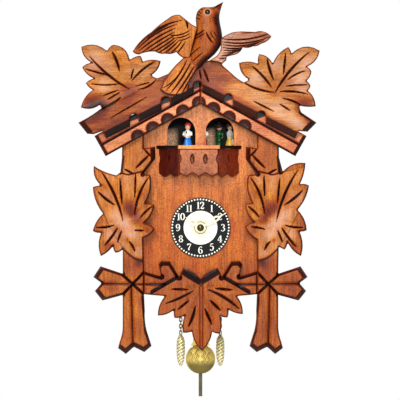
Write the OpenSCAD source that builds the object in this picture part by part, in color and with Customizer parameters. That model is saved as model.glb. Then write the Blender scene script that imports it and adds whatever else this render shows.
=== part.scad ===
// Chalet cuckoo clock with a quartz pendulum movement and revolving dancers.
// Frame: origin at the hanging hole in the back, on the wall plane.
// +X to the right as seen from the front, -Y towards the viewer, +Z up. Millimetres.

/* [Case] */
// Width over the two side boards
body_w = 92; // [90:1:100]
// Depth of the side boards, wall to front board
body_d = 58; // [58:0.5:70]
// Thickness of side, bottom and front boards
wall_t = 4; // [3.5:0.1:4.5]
// Height of the dial centre above the bottom face of the case
dial_up = 40; // [40:0.5:44]
// Height of the hanging hole above the dial centre
hang_up = 70; // [66:0.5:72]
// Roof pitch in degrees
pitch = 29; // [28:0.1:29.5]

/* [Roof] */
// Thickness of a roof board
roof_t = 4; // [3:0.1:5]
// Width of a barge board, square to the slope
barge_w = 14.4; // [13:0.1:16]
// Diameter of the scallops in the barge boards
scallop_d = 8.4; // [6:0.1:9]

/* [Carving] */
// Thickness of the frame carving
frame_t = 8; // [7:0.1:8]
// Thickness of the crown carving
crown_t = 6; // [5:0.1:8]

/* [Stage] */
// Window radius
window_r = 8.8; // [7:0.1:9]
// Distance between the window centres
window_gap = 24; // [20:0.2:25]
// Radius of the revolving disc
disc_r = 22; // [20:0.1:22]
// Height of a dancer
dancer_h = 19.6; // [17:0.1:20]

/* [Dial] */
// Diameter of the dial
dial_d = 37.4; // [34:0.2:42]

/* [Pendulum] */
// Distance from pendulum pivot to the bob centre
bob_drop = 69; // [60:0.5:80]
// Diameter of the bob
bob_d = 18.6; // [14:0.1:20]

/* [Chains] */
// Number of links in each chain
links = 12; // [8:1:24]
// Length of a cone weight
cone_len = 18; // [14:0.5:24]

/* [Hidden] */
$fn = 48;
dial_z = -hang_up;
floor_z = -dial_up;
hw = body_w / 2;
front_y = -body_d - wall_t;
frame_y = front_y - frame_t;
barge_y = frame_y - 4;
crown_y = barge_y - crown_t;
slope = tan(pitch);
eave = 84;
function under(x) = eave - slope * abs(x);
stage_z = 40;
disc_z = 45;
disc_y = -body_d + 24.5;
hinge_x = -hw + wall_t + 1.4;
hinge_y = -1.3;
pivot_z = -14;
rod_y = -body_d + 19.3;
mv_y = -body_d + 0.3;
link_l = 3.4;
wire = 0.32;
link_r = 1.1;
link_p = link_l - 4 * wire - 0.05;
chain_x = 12.4;
chain_y = -body_d + 6;
hook_z = floor_z - 1.6;
hook_r = 1.3;
// each wire lies 0.05 above the one it pulls on
first_c = hook_z - hook_r + 4 * wire + 0.05 - link_l / 2;
last_c = first_c - (links - 1) * link_p;
loop_z = last_c - link_l / 2 + 4 * wire + 0.05 - hook_r;
arbor_x = -12 * cos(45);
arbor_z = 12 * sin(45);
third_x = -11.2 * cos(45);
third_z = -11.2 * sin(45);
rotor_x = third_x - 10.5;
motor_x = 21 * cos(45);
motor_y = disc_y + 21 * sin(45);
wood = "#b5722f";
dark_wood = "#5b2a12";
brass = "#c9a244";

// ---------- helpers ----------

// everything on the front is measured from the dial centre
module at_dial() translate([0, 0, dial_z]) children();

// a flat shape drawn in X and Z, thick from y0 to y1
module slab(y0, y1) translate([0, y1, 0]) rotate([90, 0, 0]) linear_extrude(height = y1 - y0) children();

// a round bar along Y
module bar(r, y0, y1, x = 0, z = 0) translate([x, y1, z]) rotate([90, 0, 0]) cylinder(r = r, h = y1 - y0);

module block(a, b) translate(a) cube([b[0] - a[0], b[1] - a[1], b[2] - a[2]]);

// outline from corners [x, z, bulge]: each side bows outwards by bulge times its length
function side_pts(a, b, steps) =
  let (d = [b[0] - a[0], b[1] - a[1]], k = a[2] == undef ? 0 : a[2])
  k == 0 ? [[a[0], a[1]]] :
  [for (i = [0 : steps - 1]) let (t = i / steps, h = 4 * k * t * (1 - t))
    [a[0] + d[0] * t + d[1] * h, a[1] + d[1] * t - d[0] * h]];
function arcs(c, steps = 5) =
  [for (i = [0 : len(c) - 1]) each side_pts(c[i], c[(i + 1) % len(c)], steps)];

// toothed wheel, a tooth on the +X axis
module gear(m, n, bore = 0) {
  pa = 360 / n;
  rp = m * n / 2;
  difference() {
    polygon([for (i = [0 : n - 1]) each [
      [for (q = [[-0.27, rp - 1.3 * m], [-0.21, rp - 0.1 * m], [-0.10, rp + 0.85 * m],
                 [0.10, rp + 0.85 * m], [0.21, rp - 0.1 * m], [0.27, rp - 1.3 * m]])
        [q[1] * cos((i + q[0]) * pa), q[1] * sin((i + q[0]) * pa)]]][0]]);
    if (bore > 0) circle(r = bore);
  }
}

// gable shape of the case between x = -w and w, from z0 up to the roof, less a gap
module gable2d(w, z0, gap = 0) polygon([[-w, z0], [w, z0], [w, under(w) - gap], [0, under(0) - gap], [-w, under(w) - gap]]);

// ---------- case ----------

module front_board() color(wood) at_dial() difference() {
  slab(front_y, front_y + wall_t) gable2d(hw, floor_z);
  for (s = [-1, 1]) {
    bar(window_r, front_y - 1, front_y + wall_t + 1, s * window_gap / 2, 60.1);
    block([s * window_gap / 2 - window_r, front_y - 1, 46], [s * window_gap / 2 + window_r, front_y + wall_t + 1, 60.1]);
  }
  bar(4, front_y - 1, front_y + wall_t + 1);
}

module side_left() color(wood) at_dial()
  slab(-body_d, 0) polygon([[-hw, floor_z], [-hw + wall_t, floor_z], [-hw + wall_t, under(hw - wall_t)], [-hw, under(hw)]]);

module side_right() color(wood) at_dial() difference() {
  slab(-body_d, 0) polygon([[hw - wall_t, floor_z], [hw, floor_z], [hw, under(hw)], [hw - wall_t, under(hw - wall_t)]]);
  block([hw - wall_t - 1, -31.9, -19.4], [hw + 1, -24.1, -16.6]);
}

module bottom_board() color(wood) at_dial() difference() {
  block([-hw + wall_t, -body_d, floor_z], [hw - wall_t, 0, floor_z + 4]);
  block([-9, rod_y - 4, floor_z - 1], [9, rod_y + 4, floor_z + 5]);
  for (s = [-1, 1]) translate([s * chain_x, chain_y, floor_z - 1]) cylinder(r = 0.6, h = 4);
}

module back_gable() color(wood) at_dial() difference() {
  slab(-3, 0) gable2d(hw - wall_t, stage_z);
  bar(4, -4, 1, 0, hang_up);
  block([-2, -4, hang_up], [2, 1, hang_up + 8]);
  bar(2, -4, 1, 0, hang_up + 8);
}

module back_door() color(wood) at_dial() difference() {
  block([hinge_x - 0.4, -5.5, floor_z + 4.5], [hw - wall_t - 0.5, -2.5, stage_z - 0.5]);
  bar(6, -7, -1, hw - wall_t + 1, 0);
}

module door_hinges() color(brass) at_dial() for (z = [-22, 22]) {
  block([-hw + wall_t, -8, z - 5], [-hw + wall_t + 0.4, -0.4, z + 5]);
  for (s = [-1, 1]) difference() {
    union() {
      translate([hinge_x, hinge_y, z + s * 3.6 - 1.4]) cylinder(r = 0.9, h = 2.8);
      block([-hw + wall_t + 0.2, hinge_y - 0.3, z + s * 3.6 - 1.4], [hinge_x, hinge_y + 0.3, z + s * 3.6 + 1.4]);
    }
  }
  translate([hinge_x, hinge_y, z - 3]) cylinder(r = 0.4, h = 6);
}

module door_leaves() color(brass) at_dial() for (z = [-22, 22]) difference() {
  union() {
    translate([hinge_x, hinge_y, z - 1.9]) cylinder(r = 0.9, h = 3.8);
    block([hinge_x, -2.5, z - 1.9], [hinge_x + 0.9, hinge_y, z + 1.9]);
    block([hinge_x, -2.5, z - 4], [hinge_x + 8, -1.9, z + 4]);
  }
  translate([hinge_x, hinge_y, z - 3]) cylinder(r = 0.45, h = 6);
  for (s = [-1, 1]) block([hinge_x - 2, -3, s > 0 ? z + 1.9 : z - 5.2], [hinge_x + 1.3, 0, s > 0 ? z + 5.2 : z - 1.9]);
}

// ---------- roof ----------

module roof_board(s) color(dark_wood) at_dial() slab(frame_y, 0)
  polygon([[0, eave], [s * 58, under(58)], [s * (58 + roof_t * sin(pitch)), under(58) + roof_t * cos(pitch)], [0, eave + roof_t / cos(pitch)]]);
module roof_left() roof_board(-1);
module roof_right() roof_board(1);

module barge(s, scoops) color(wood) at_dial() difference() {
  slab(barge_y, frame_y) polygon([[0, 77.3], [s * 59.1, 77.3 - slope * 59.1],
    [s * (59.1 + barge_w * sin(pitch)), 77.3 - slope * 59.1 + barge_w * cos(pitch)], [0, 77.3 + barge_w / cos(pitch)]]);
  // scoops cut into the face along the lower edge
  for (x = scoops) bar(scallop_d / 2, barge_y - 1, barge_y + 1.6, s * x, 78.4 - slope * x);
  bar(scallop_d / 2, barge_y - 1, barge_y + 1.6, -1, 77.6);
  // groove along the slope
  slab(barge_y - 1, barge_y + 0.8) polygon([[0, 85.2], [s * 61.6, 85.2 - slope * 61.6], [s * 61.9, 86.1 - slope * 61.6], [0, 86.1]]);
}
module barge_left() barge(-1, [10.9, 20.3, 29.6, 38.9]);
module barge_right() barge(1, [8, 17.7, 27.4, 37.1]);

crown_out = [
  [-70.4, 58.5, 0], [-66.6, 58.2, 0], [-60.9, 60.2, 0], [-58.8, 55.5, 0], [0, 85.3, 0], [58.8, 55.5, 0], [60.9, 60.2, 0],
  [66.6, 59.8, 0], [72.2, 65.4, 0], [62.7, 71.7, -0.06], [61.4, 76, 0.05], [71.5, 75.5, 0.12], [66.5, 85.3, 0.1],
  [68.3, 88.2, 0.08], [65.8, 91.3, 0.1], [68.9, 97, 0.12], [65.8, 100.1, 0.15], [74, 110, 0.2], [56.4, 108.1, 0.1],
  [54.4, 112.3, 0.1], [44.8, 101.9, 0.15], [36.5, 107.9, 0.1], [36, 101.7, 0.1], [24, 102.4, 0.14], [30, 92.3, -0.1],
  [26.8, 90.4, -0.04], [19.7, 95.6, 0], [14.1, 100.5, 0], [12.2, 103.5, 0], [-2, 104, 0], [-20.4, 95.5, 0], [-26.6, 92.9, -0.1], [-30.5, 95, 0.12],
  [-24.8, 103.6, 0.1], [-36, 103, 0.1], [-37.5, 106.9, 0.08], [-44, 104.1, 0.2], [-54.1, 113.7, 0.1], [-58, 109.8, 0.16],
  [-74, 112.4, 0.16], [-67.1, 102.5, 0.1], [-73.5, 99.7, 0.1], [-66, 92.7, 0.1], [-71.2, 89.8, 0.08], [-66.8, 85.7, 0.1],
  [-74.3, 74.8, 0.14], [-62.4, 76.6, 0], [-61.6, 74.3, -0.03], [-75.9, 65.4, 0]];

// round-headed slots in the lower edge of the crown
crown_slots = [[-41.2, 68.3], [-21.6, 78.8], [-1.6, 88.2], [17.3, 80.4], [37.8, 69.8]];
module crown() color(wood) at_dial() difference() {
  slab(crown_y, barge_y) polygon(arcs(crown_out));
  for (p = crown_slots) {
    bar(2.6, crown_y - 1, barge_y + 1, p[0], p[1]);
    block([p[0] - 2.6, crown_y - 1, p[1] - 6], [p[0] + 2.6, barge_y + 1, p[1]]);
  }
  // veins of the two leaves
  for (v = [[-44.3, 85.9, -72, 110], [-44.3, 85.9, -72, 98.5], [-44.3, 85.9, -72, 78], [-44.3, 85.9, -53, 111], [-44.3, 85.9, -28, 101.5],
            [45.3, 82.7, 71, 108], [45.3, 82.7, 66, 96], [45.3, 82.7, 68.5, 78], [45.3, 82.7, 52.5, 108], [45.3, 82.7, 27, 101]])
    vein(v, crown_y);
}

// a shallow groove from (x0, z0) to (x1, z1) in the face at y
module vein(v, y) {
  a = atan2(v[3] - v[1], v[2] - v[0]);
  l = norm([v[2] - v[0], v[3] - v[1]]);
  translate([v[0], y, v[1]]) rotate([0, -a, 0]) block([2.2, -1, -0.45], [l, 1.0, 0.45]);
}

// ---------- bird ----------

module bird_torso(g = 0) {
  hull() {
    translate([4.6, crown_y + 1.3, 112.6]) sphere(r = 8.3 + g, $fn = 28);
    translate([5.1, crown_y + 0.9, 120.4]) sphere(r = 7.8 + g, $fn = 28);
    translate([-3.5, crown_y + 1, 102.6]) sphere(r = 4 + g, $fn = 24);
  }
  hull() {
    translate([5.0, crown_y + 0.6, 121]) sphere(r = 7 + g, $fn = 28);
    translate([4.3, crown_y + 0.3, 130.8]) sphere(r = 6.1 + g, $fn = 28);
  }
}
module bird_tail2d() polygon(arcs([[-8, 84.6, 0], [-6.2, 92, 0], [-1.8, 98.6, 0], [-2, 105, 0], [-10.6, 105.4, -0.03], [-19.4, 96, 0.02],
  [-25.1, 85.7, 0.1], [-17.3, 82.1, 0.1]]));
module bird_body() color(wood) at_dial() difference() {
  union() {
    bird_torso();
    translate([7.2, crown_y + 0.3, 133]) rotate([0, 45, 0]) cylinder(r1 = 3.2, r2 = 0.2, h = 9.4);
    slab(crown_y - 3.4, crown_y - 0.2) bird_tail2d();
  }
  // the foot stands on the crown
  block([-21, crown_y, 80], [16, barge_y + 8, 104.6]);
  for (s = [-1, 1]) translate([4.2, crown_y + 0.3 + s * 6.1, 133.4]) sphere(r = 1.6, $fn = 24);
  bird_eye_at(1.92);
}
module bird_eye_at(r) translate([4.4, crown_y - 4.6, 133.6]) sphere(r = r, $fn = 24);
module bird_eyes() color("#1a1410") at_dial() bird_eye_at(1.9);

module bird_wing_left() color(wood) at_dial() difference() {
  slab(crown_y - 4.2, crown_y - 0.8) polygon(arcs([[-2, 104, 0], [2, 122, 0], [-5.7, 126.3, 0], [-12.7, 132, 0.12], [-20.4, 129.5, 0.03],
    [-30, 121.8, 0.06], [-42.1, 109.4, 0.1], [-38.3, 107.5, -0.06], [-28.1, 109.4, 0.1], [-21.7, 108.1, 0.1], [-15, 109.1, 0.06], [-10.5, 105.3, 0]]));
  bird_torso(0.05);
  slab(crown_y - 5, crown_y) bird_tail2d();
}
module bird_wing_right() color(wood) at_dial() difference() {
  slab(crown_y - 4.2, crown_y - 0.8) polygon(arcs([[4.5, 103.8, 0], [10.9, 102.7, 0], [13.4, 101.7, 0], [16, 104, 0], [16.3, 106.2, 0],
    [21.7, 107.5, 0.12], [26.2, 112, 0.1], [32.5, 112.6, 0.1], [37.6, 114.2, 0.1], [44, 118.7, 0.16], [33.8, 121.5, 0],
    [26.2, 121.8, 0.02], [19.8, 121.2, 0.03], [13.4, 118, 0], [8, 118, 0]]));
  bird_torso(0.05);
}

// ---------- frame ----------

stile_l_out = [
  [-48.8, 56.4, 0], [-49.0, 44, 0], [-50, 34.6, 0], [-52.4, 32.7, -0.05], [-66.5, 38.5, 0.14], [-62, 26.3, 0.05], [-67.2, 25.3, 0.08],
  [-60.8, 8.8, 0.08], [-67.2, -2, 0.1], [-62, -3.1, 0.1], [-62.2, -17.7, 0.08], [-54.5, -11, 0.1], [-53.1, -15.6, 0.1],
  [-48.5, -13.5, 0], [-48.5, -28.8, 0], [-62.5, -24.1, 0], [-66.9, -30.8, 0], [-61.7, -34.6, 0], [-66, -39.5, 0], [-61.3, -45.5, 0],
  [-48.5, -42, 0], [-48.5, -62, -0.04], [-50.3, -70.9, 0], [-51.5, -75.2, 0], [-46.6, -78.9, 0], [-41.6, -74.4, 0], [-35.1, -77.7, 0],
  [-30.6, -73.9, 0], [-33.6, -64.5, -0.04], [-34.8, -52, 0], [-35.3, -41.5, 0], [-35.3, -27.3, 0], [-35.7, -6.3, 0.1],
  [-28.5, -0.8, 0.1], [-35.4, 2.8, 0.1], [-28.7, 14.1, 0.1], [-34.5, 15, 0.1], [-31.4, 33, 0], [-36, 33.2, 0],
  [-28.2, 43.2, 0], [-28.4, 50.6, 0], [-35.4, 49.6, 0], [-35.4, 63.8, 0]];
stile_r_out = [
  [35.4, 63.8, 0], [35.4, 49.6, 0], [28.4, 50.6, 0], [28.2, 43.2, 0], [35, 33.4, 0], [29.7, 32.7, 0.1], [32.3, 15.3, 0.1],
  [27.8, 14.3, 0.1], [33.5, 3.3, 0.1], [27.8, 0.7, 0.1], [35.2, -7.7, 0], [35.3, -27.3, 0], [35.3, -41.5, 0], [34.8, -52, -0.04],
  [33.6, -64.5, 0], [30.6, -73.9, 0], [35.1, -77.7, 0], [41.6, -74.4, 0], [46.6, -78.9, 0], [51.5, -75.2, 0], [50.3, -70.9, -0.04],
  [48.5, -62, 0], [48.5, -42, 0], [61.3, -45.5, 0], [66, -39.5, 0], [61.7, -34.6, 0], [66.9, -30.8, 0], [62.5, -24.1, 0],
  [48.5, -28.8, 0], [48.8, -11.8, 0], [52.4, -13.7, 0.1], [54.3, -8.6, 0.1], [62.7, -17.7, 0.1], [61.7, -2.2, 0.1], [66.3, -1.5, 0.1],
  [60.5, 11.2, 0.08], [67.7, 26.3, 0.1], [62, 27.2, 0.05], [65.5, 40.4, 0.14], [51.4, 34.9, 0], [49.0, 44, 0], [48.8, 56.4, 0]];
apron_out = [
  [-35.3, -27.3, 0], [-35.3, -41.5, 0], [-22, -42.6, 0.1], [-26.6, -54.7, 0.1], [-16.4, -51, 0.08], [-16.2, -56.2, 0.1],
  [-9.7, -54.5, 0.08], [-10.9, -65.4, 0.08], [-5.4, -64.5, 0.1], [0.9, -76.7, 0.1], [7.3, -64.8, 0.08], [12.2, -66, 0.08],
  [12.5, -55, 0.08], [16.8, -55.9, 0.1], [17.1, -50.7, 0.08], [26.4, -53.8, 0.1], [22.6, -42.6, 0], [35.3, -41.5, 0],
  [35.3, -27.3, 0], [24.4, -30.6, 0], [26.1, -22.6, 0], [24.6, -20.9, 0], [19.2, -21.1, 0], [13.2, -31.1, 0.04],
  [10.6, -25.2, 0.1], [0, -32.2, 0.1], [-10.6, -25.2, 0.04], [-13.2, -31.1, 0], [-19.2, -21.1, 0], [-24.6, -20.9, 0],
  [-26.1, -22.6, 0], [-24.4, -30.6, 0]];

module stile_left() color(wood) at_dial() difference() {
  slab(frame_y, front_y) polygon(arcs(stile_l_out));
  for (v = [[-48.6, 4.5, -64, 36], [-48.6, 4.5, -65, 22], [-48.6, 4.5, -65, -1], [-48.6, 4.5, -60, -14], [-48.6, 4.5, -33.5, 30],
            [-48.6, 4.5, -31, 12.5], [-48.6, 4.5, -31, -0.5], [-47.7, -29.6, -36.1, -40.7], [-36.1, -28.2, -47.7, -41.2]]) vein(v, frame_y);
}
module stile_right() color(wood) at_dial() difference() {
  slab(frame_y, front_y) polygon(arcs(stile_r_out));
  for (v = [[47.6, 4, 63.5, 38], [47.6, 4, 65, 23], [47.6, 4, 64, -1], [47.6, 4, 60, -14], [47.6, 4, 32, 30],
            [47.6, 4, 30, 12.5], [47.6, 4, 30, 1], [47.7, -29.6, 36.1, -40.7], [36.1, -28.2, 47.7, -41.2]]) vein(v, frame_y);
}
module apron() color(wood) at_dial() difference() {
  slab(frame_y, front_y) polygon(arcs(apron_out));
  for (v = [[0, -36, 0.6, -74], [0, -37.4, -24, -52.5], [0, -37.4, -15, -54], [0, -37.4, -10, -63],
            [0, -37.4, 24, -52], [0, -37.4, 15.5, -54], [0, -37.4, 11, -63.5]]) vein(v, frame_y);
}

// ---------- balcony ----------

bal_x = -1;
bal_w = 12.2;
bal_o = 25;
bal_y = front_y - 13;
module slats2d(w, n) difference() {
  union() {
    translate([-w, 35]) square([2 * w, 14.1]);
    for (i = [0 : n - 1]) polygon([[-w + 2 * w * i / n, 35.1], [-w + 2 * w * i / n, 34.1], [-w + 2 * w * (i + 0.5) / n, 31.75],
      [-w + 2 * w * (i + 1) / n, 34.1], [-w + 2 * w * (i + 1) / n, 35.1]]);
  }
  for (i = [0 : n]) translate([-w + 2 * w * i / n, 42.9]) polygon([for (a = [0 : 30 : 330]) [1.0 * cos(a), 2.8 * sin(a) * abs(sin(a))]]);
}
module balcony_front() color(wood) at_dial() translate([bal_x, 0, 0]) slab(bal_y, bal_y + 2.4) slats2d(bal_w, 3);
// the side panels run back to the front board at an angle
bal_a = atan2(13, bal_o - bal_w);
bal_l = norm([13, bal_o - bal_w]);
module balcony_side(s) difference() {
  translate([bal_x + s * bal_w, bal_y, 0]) rotate([0, 0, s * bal_a])
    translate([s * bal_l / 2, 0, 0]) slab(0, 2.4) slats2d(bal_l / 2, 2);
  block([bal_x - bal_w, bal_y - 1, 30], [bal_x + bal_w, bal_y + 2.45, 50]);
  block([-40, front_y, 30], [40, front_y + 6, 50]);
}
module balcony_sides() color(dark_wood) at_dial() for (s = [-1, 1]) balcony_side(s);
module balcony_rail() color(wood) at_dial() translate([bal_x, 0, 49.2])
  linear_extrude(height = 2.1) difference() {
    polygon([[-bal_o - 1.6, front_y], [-bal_w - 0.6, bal_y - 1], [bal_w + 0.6, bal_y - 1], [bal_o + 1.6, front_y]]);
    polygon([[-bal_o + 3, front_y + 0.01], [-bal_w + 1.5, bal_y + 3.2], [bal_w - 1.5, bal_y + 3.2], [bal_o - 3, front_y + 0.01]]);
  }
module balcony_floor() color(dark_wood) at_dial() translate([bal_x, 0, 36])
  linear_extrude(height = 2) polygon([[-bal_o + 5.2, front_y], [-bal_w + 1.6, bal_y + 2.5], [bal_w - 1.6, bal_y + 2.5], [bal_o - 5.2, front_y]]);

// ---------- dial and hands ----------

module dial() color("#15130f") at_dial() difference() {
  bar(dial_d / 2, front_y - 1.2, front_y);
  bar(4, front_y - 2, front_y + 1);
}
module dial_nut() color(brass) at_dial() difference() {
  bar(5.2, front_y - 2.4, front_y - 1.2);
  bar(3.9, front_y - 3, front_y);
}
module hand_y(y0, a) translate([0, y0, 0]) rotate([0, a, 0]) children();
module hour_hand() color("#efe6cf") at_dial() hand_y(front_y - 3.7, -55) difference() {
  union() {
    bar(3.5, 0, 0.6);
    slab(0, 0.6) polygon(arcs([[-1.3, 3, 0], [1.3, 3, 0], [2.0, 5.6, 0.2], [0.8, 8.4, -0.03], [0.15, 11.5, 0], [-0.15, 11.5, -0.03], [-0.8, 8.4, 0.2], [-2.0, 5.6, 0]]));
  }
  slab(-1, 1) polygon([[0.9, 5.2], [0.5, 6.6], [0, 7.6], [-0.5, 6.6], [-0.9, 5.2], [0, 4.6]]);
  bar(2.7, -1, 1);
}
module minute_hand() color("#efe6cf") at_dial() hand_y(front_y - 4.9, 60) difference() {
  union() {
    bar(2.7, 0, 0.6);
    slab(0, 0.6) polygon(arcs([[-0.9, 2.2, 0], [0.9, 2.2, -0.04], [0.8, 7.6, 0], [1.7, 10.6, 0.15], [0.6, 13.6, -0.02], [0.15, 18.6, 0], [-0.15, 18.6, -0.02], [-0.6, 13.6, 0.15], [-1.7, 10.6, 0], [-0.8, 7.6, -0.04]]));
  }
  slab(-1, 1) polygon([[0.75, 10.4], [0.5, 11.8], [0, 13.0], [-0.5, 11.8], [-0.75, 10.4], [0, 9.6]]);
  bar(1.7, -1, 1);
}
module hand_cap() color(brass) at_dial() translate([0, front_y - 4.9, 0]) rotate([90, 0, 0])
  rotate_extrude() polygon([[0, 0], [2.2, 0], [2.2, 0.4], [1.8, 0.9], [1.0, 1.3], [0.9, 1.9], [0, 2.2]]);

// ---------- movement ----------

module movement_plate() color("#26282b") at_dial() difference() {
  union() {
    block([-28, mv_y, -28], [28, mv_y + 1.5, 28]);
    bar(3.9, front_y - 2.7, mv_y + 1);
  }
  bar(2.75, front_y - 3, mv_y + 2);
  bar(0.8, mv_y + 0.5, mv_y + 2, arbor_x, arbor_z);
  bar(0.55, mv_y + 0.5, mv_y + 2, third_x, third_z);
  bar(0.55, mv_y + 0.5, mv_y + 2, rotor_x, third_z);
}
module movement_cover() color("#2f3236") at_dial() difference() {
  union() {
    difference() {
      block([-28, mv_y + 1.5, -28], [28, mv_y + 16.5, 28]);
      block([-26.8, mv_y + 1.4, -26.8], [26.8, mv_y + 15.3, 26.8]);
      block([12.2, mv_y + 14, -25.8], [26.8, mv_y + 18, 25.8]);
    }
    bar(1, mv_y + 16, mv_y + 20.2, 0, pivot_z);
    bar(1.6, mv_y + 13.5, mv_y + 15.4, third_x, third_z);
    bar(1.6, mv_y + 13.5, mv_y + 15.4, rotor_x, third_z);
    bar(1.8, mv_y + 13.5, mv_y + 15.4);
  }
  bar(0.8, mv_y + 13, mv_y + 17, arbor_x, arbor_z);
  bar(0.55, mv_y + 13, mv_y + 15.2, third_x, third_z);
  bar(0.55, mv_y + 13, mv_y + 15.2, rotor_x, third_z);
  bar(0.8, mv_y + 13, mv_y + 15.2);
}
module minute_wheel() color(brass) at_dial() {
  bar(1.7, front_y - 4.9, mv_y + 8);
  bar(0.75, mv_y + 8, mv_y + 15);
  slab(mv_y + 5.2, mv_y + 6.8) rotate(135) gear(0.5, 12);
  slab(mv_y + 9.2, mv_y + 10.2) rotate(225) gear(0.32, 60);
  bar(1.7, mv_y + 7.5, mv_y + 9.2);
}
module hour_wheel() color("#d8d2c2") at_dial() difference() {
  union() {
    bar(2.7, front_y - 3.7, mv_y + 3);
    slab(mv_y + 1.9, mv_y + 2.9) rotate(135) gear(0.48, 40, 2.6);
  }
  bar(1.75, front_y - 4, mv_y + 4);
}
module motion_wheel() color("#d8d2c2") at_dial() {
  bar(0.75, mv_y + 0.6, mv_y + 17.2, arbor_x, arbor_z);
  translate([arbor_x, 0, arbor_z]) {
    slab(mv_y + 5.2, mv_y + 6.8) rotate(-45 + 5) gear(0.5, 36);
    slab(mv_y + 1.9, mv_y + 2.9) rotate(-45 + 18) gear(0.48, 10);
    bar(1.4, mv_y + 2.9, mv_y + 5.2);
  }
}
module third_wheel() color(brass) at_dial() {
  bar(0.5, mv_y + 0.6, mv_y + 15, third_x, third_z);
  translate([third_x, 0, third_z]) {
    slab(mv_y + 9.2, mv_y + 10.2) rotate(45 + 18) gear(0.32, 10);
    slab(mv_y + 11, mv_y + 11.6) rotate(180) gear(0.3, 60);
    bar(1.0, mv_y + 10.2, mv_y + 11);
  }
}
module rotor() color("#5a5f66") at_dial() {
  bar(0.5, mv_y + 0.6, mv_y + 15, rotor_x, third_z);
  bar(3, mv_y + 7.5, mv_y + 9.5, rotor_x, third_z);
  translate([rotor_x, 0, third_z]) slab(mv_y + 10.9, mv_y + 11.8) rotate(18) gear(0.3, 10);
}
module movement_coils() color("#a85b23") at_dial() {
  difference() {
    block([-26.4, mv_y + 8.2, -18], [-11, mv_y + 8.8, -3]);
    bar(3.4, mv_y + 7, mv_y + 10, rotor_x, third_z);
  }
  translate([-25.5, mv_y + 8.5, -21.2]) rotate([0, 90, 0]) cylinder(r = 3.2, h = 13.5);
  difference() {
    bar(5.6, mv_y + 12.1, mv_y + 15.2, 0, -21);
    bar(2.4, mv_y + 11, mv_y + 14.4, 0, -21);
  }
}
module setting_knob() color("#26282b") at_dial() difference() {
  bar(4.5, mv_y + 17, mv_y + 20.4, arbor_x, arbor_z);
  bar(0.75, mv_y + 16, mv_y + 17.2, arbor_x, arbor_z);
  for (a = [0 : 30 : 330]) bar(0.5, mv_y + 16, mv_y + 21, arbor_x + 4.6 * cos(a), arbor_z + 4.6 * sin(a));
}

// ---------- pendulum ----------

module pendulum_lever() color("#e8e4d8") at_dial() difference() {
  union() {
    slab(rod_y - 1.7, rod_y - 0.5) polygon([[-2.6, pivot_z + 3], [2.6, pivot_z + 3], [3.4, -21], [1.8, -33], [-1.8, -33], [-3.4, -21]]);
    bar(0.55, rod_y - 1, rod_y + 0.6, 0, -30);
  }
  bar(1.05, rod_y - 3, rod_y + 1, 0, pivot_z);
}
module pendulum_rod() color("#7a6a3a") at_dial() difference() {
  block([-1.15, rod_y - 0.5, -106.6], [1.15, rod_y + 0.5, -27.5]);
  bar(0.57, rod_y - 1, rod_y + 1, 0, -30);
}
bob_z = pivot_z - bob_drop;
module pendulum_bob() color(brass) at_dial() {
  translate([0, rod_y - 0.5, bob_z]) rotate([90, 0, 0]) rotate_extrude()
    polygon([[0, 0], [bob_d / 2, 0], [bob_d / 2, 0.7], [bob_d * 0.4, 1.9], [bob_d * 0.25, 2.8], [bob_d * 0.1, 3.2], [0, 3.3]]);
  slab(rod_y - 1.9, rod_y - 0.5) translate([0, bob_z]) polygon(arcs([[-2, 3, 0], [2, 3, 0.1], [6.4, 7, 0.1], [4.4, 13.6, 0.1], [2.2, 9.6, 0],
    [0, 10.6, 0], [-2.2, 9.6, 0.1], [-4.4, 13.6, 0.1], [-6.4, 7, 0.1]]));
}

// ---------- stage ----------

module stage_floor() color(wood) at_dial() difference() {
  block([-hw + wall_t, -body_d, stage_z], [hw - wall_t, -3, stage_z + 3]);
  translate([0, disc_y, stage_z - 1]) cylinder(r = 1.55, h = 5);
  translate([motor_x, motor_y, stage_z - 1]) cylinder(r = 4.4, h = 5);
}
module stage_backdrop() color("#1b1b1d") at_dial()
  slab(-10.6, -10) gable2d(hw - wall_t, stage_z + 3, 0.3);

module turntable() color("#c9b184") at_dial() translate([0, disc_y, 0]) {
  translate([0, 0, disc_z]) cylinder(r = disc_r, h = 2);
  translate([0, 0, disc_z - 1.6]) linear_extrude(height = 1.6) rotate(45) gear(0.6, 60);
  translate([0, 0, stage_z - 2]) cylinder(r = 1.5, h = disc_z - stage_z + 2);
}
// a turned and painted figure of height dancer_h, standing at angle a, seen facing outwards
module figure(a, r, skirt) translate([r * sin(a), disc_y - r * cos(a), disc_z + 2]) scale([1, 1, dancer_h / 19.6]) {
  rotate_extrude() polygon(skirt ? [[0, 0], [3.3, 0], [3.2, 3], [2.6, 6.5], [1.5, 9.6], [1.9, 11.5], [2.0, 13.6], [0.9, 14.7], [0, 14.7]]
                                 : [[0, 0], [1.9, 0], [1.6, 4], [1.6, 7], [2.2, 7.2], [1.9, 10], [2.1, 13.6], [0.9, 14.7], [0, 14.7]]);
  translate([0, 0, 16.6]) sphere(r = 2.2, $fn = 32);
  rotate([0, 0, a]) for (s = [-1, 1]) hull() {
    translate([s * 2.2, 0, 13]) sphere(r = 0.95, $fn = 14);
    translate([s * 2.5, -1.8, 9.6]) sphere(r = 0.8, $fn = 14);
  }
  if (skirt) rotate([0, 0, a]) translate([0, 0.3, 17.3]) scale([1, 1, 0.97]) sphere(r = 2.35, $fn = 32);
  else translate([0, 0, 17.5]) rotate_extrude() polygon([[0, 0], [3, 0], [3, 0.5], [1.7, 0.7], [1.5, 2.1], [0, 2.1]]);
}
module dancer_blue() color("#2f63c0") at_dial() figure(-24, 19, true);
module dancer_yellow() color("#e0b92c") at_dial() figure(78, 19, true);
module dancer_green() color("#3f7d3a") at_dial() figure(141, 18.2, false);
module dancer_red() color("#b3301f") at_dial() figure(5, 19, true);

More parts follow.
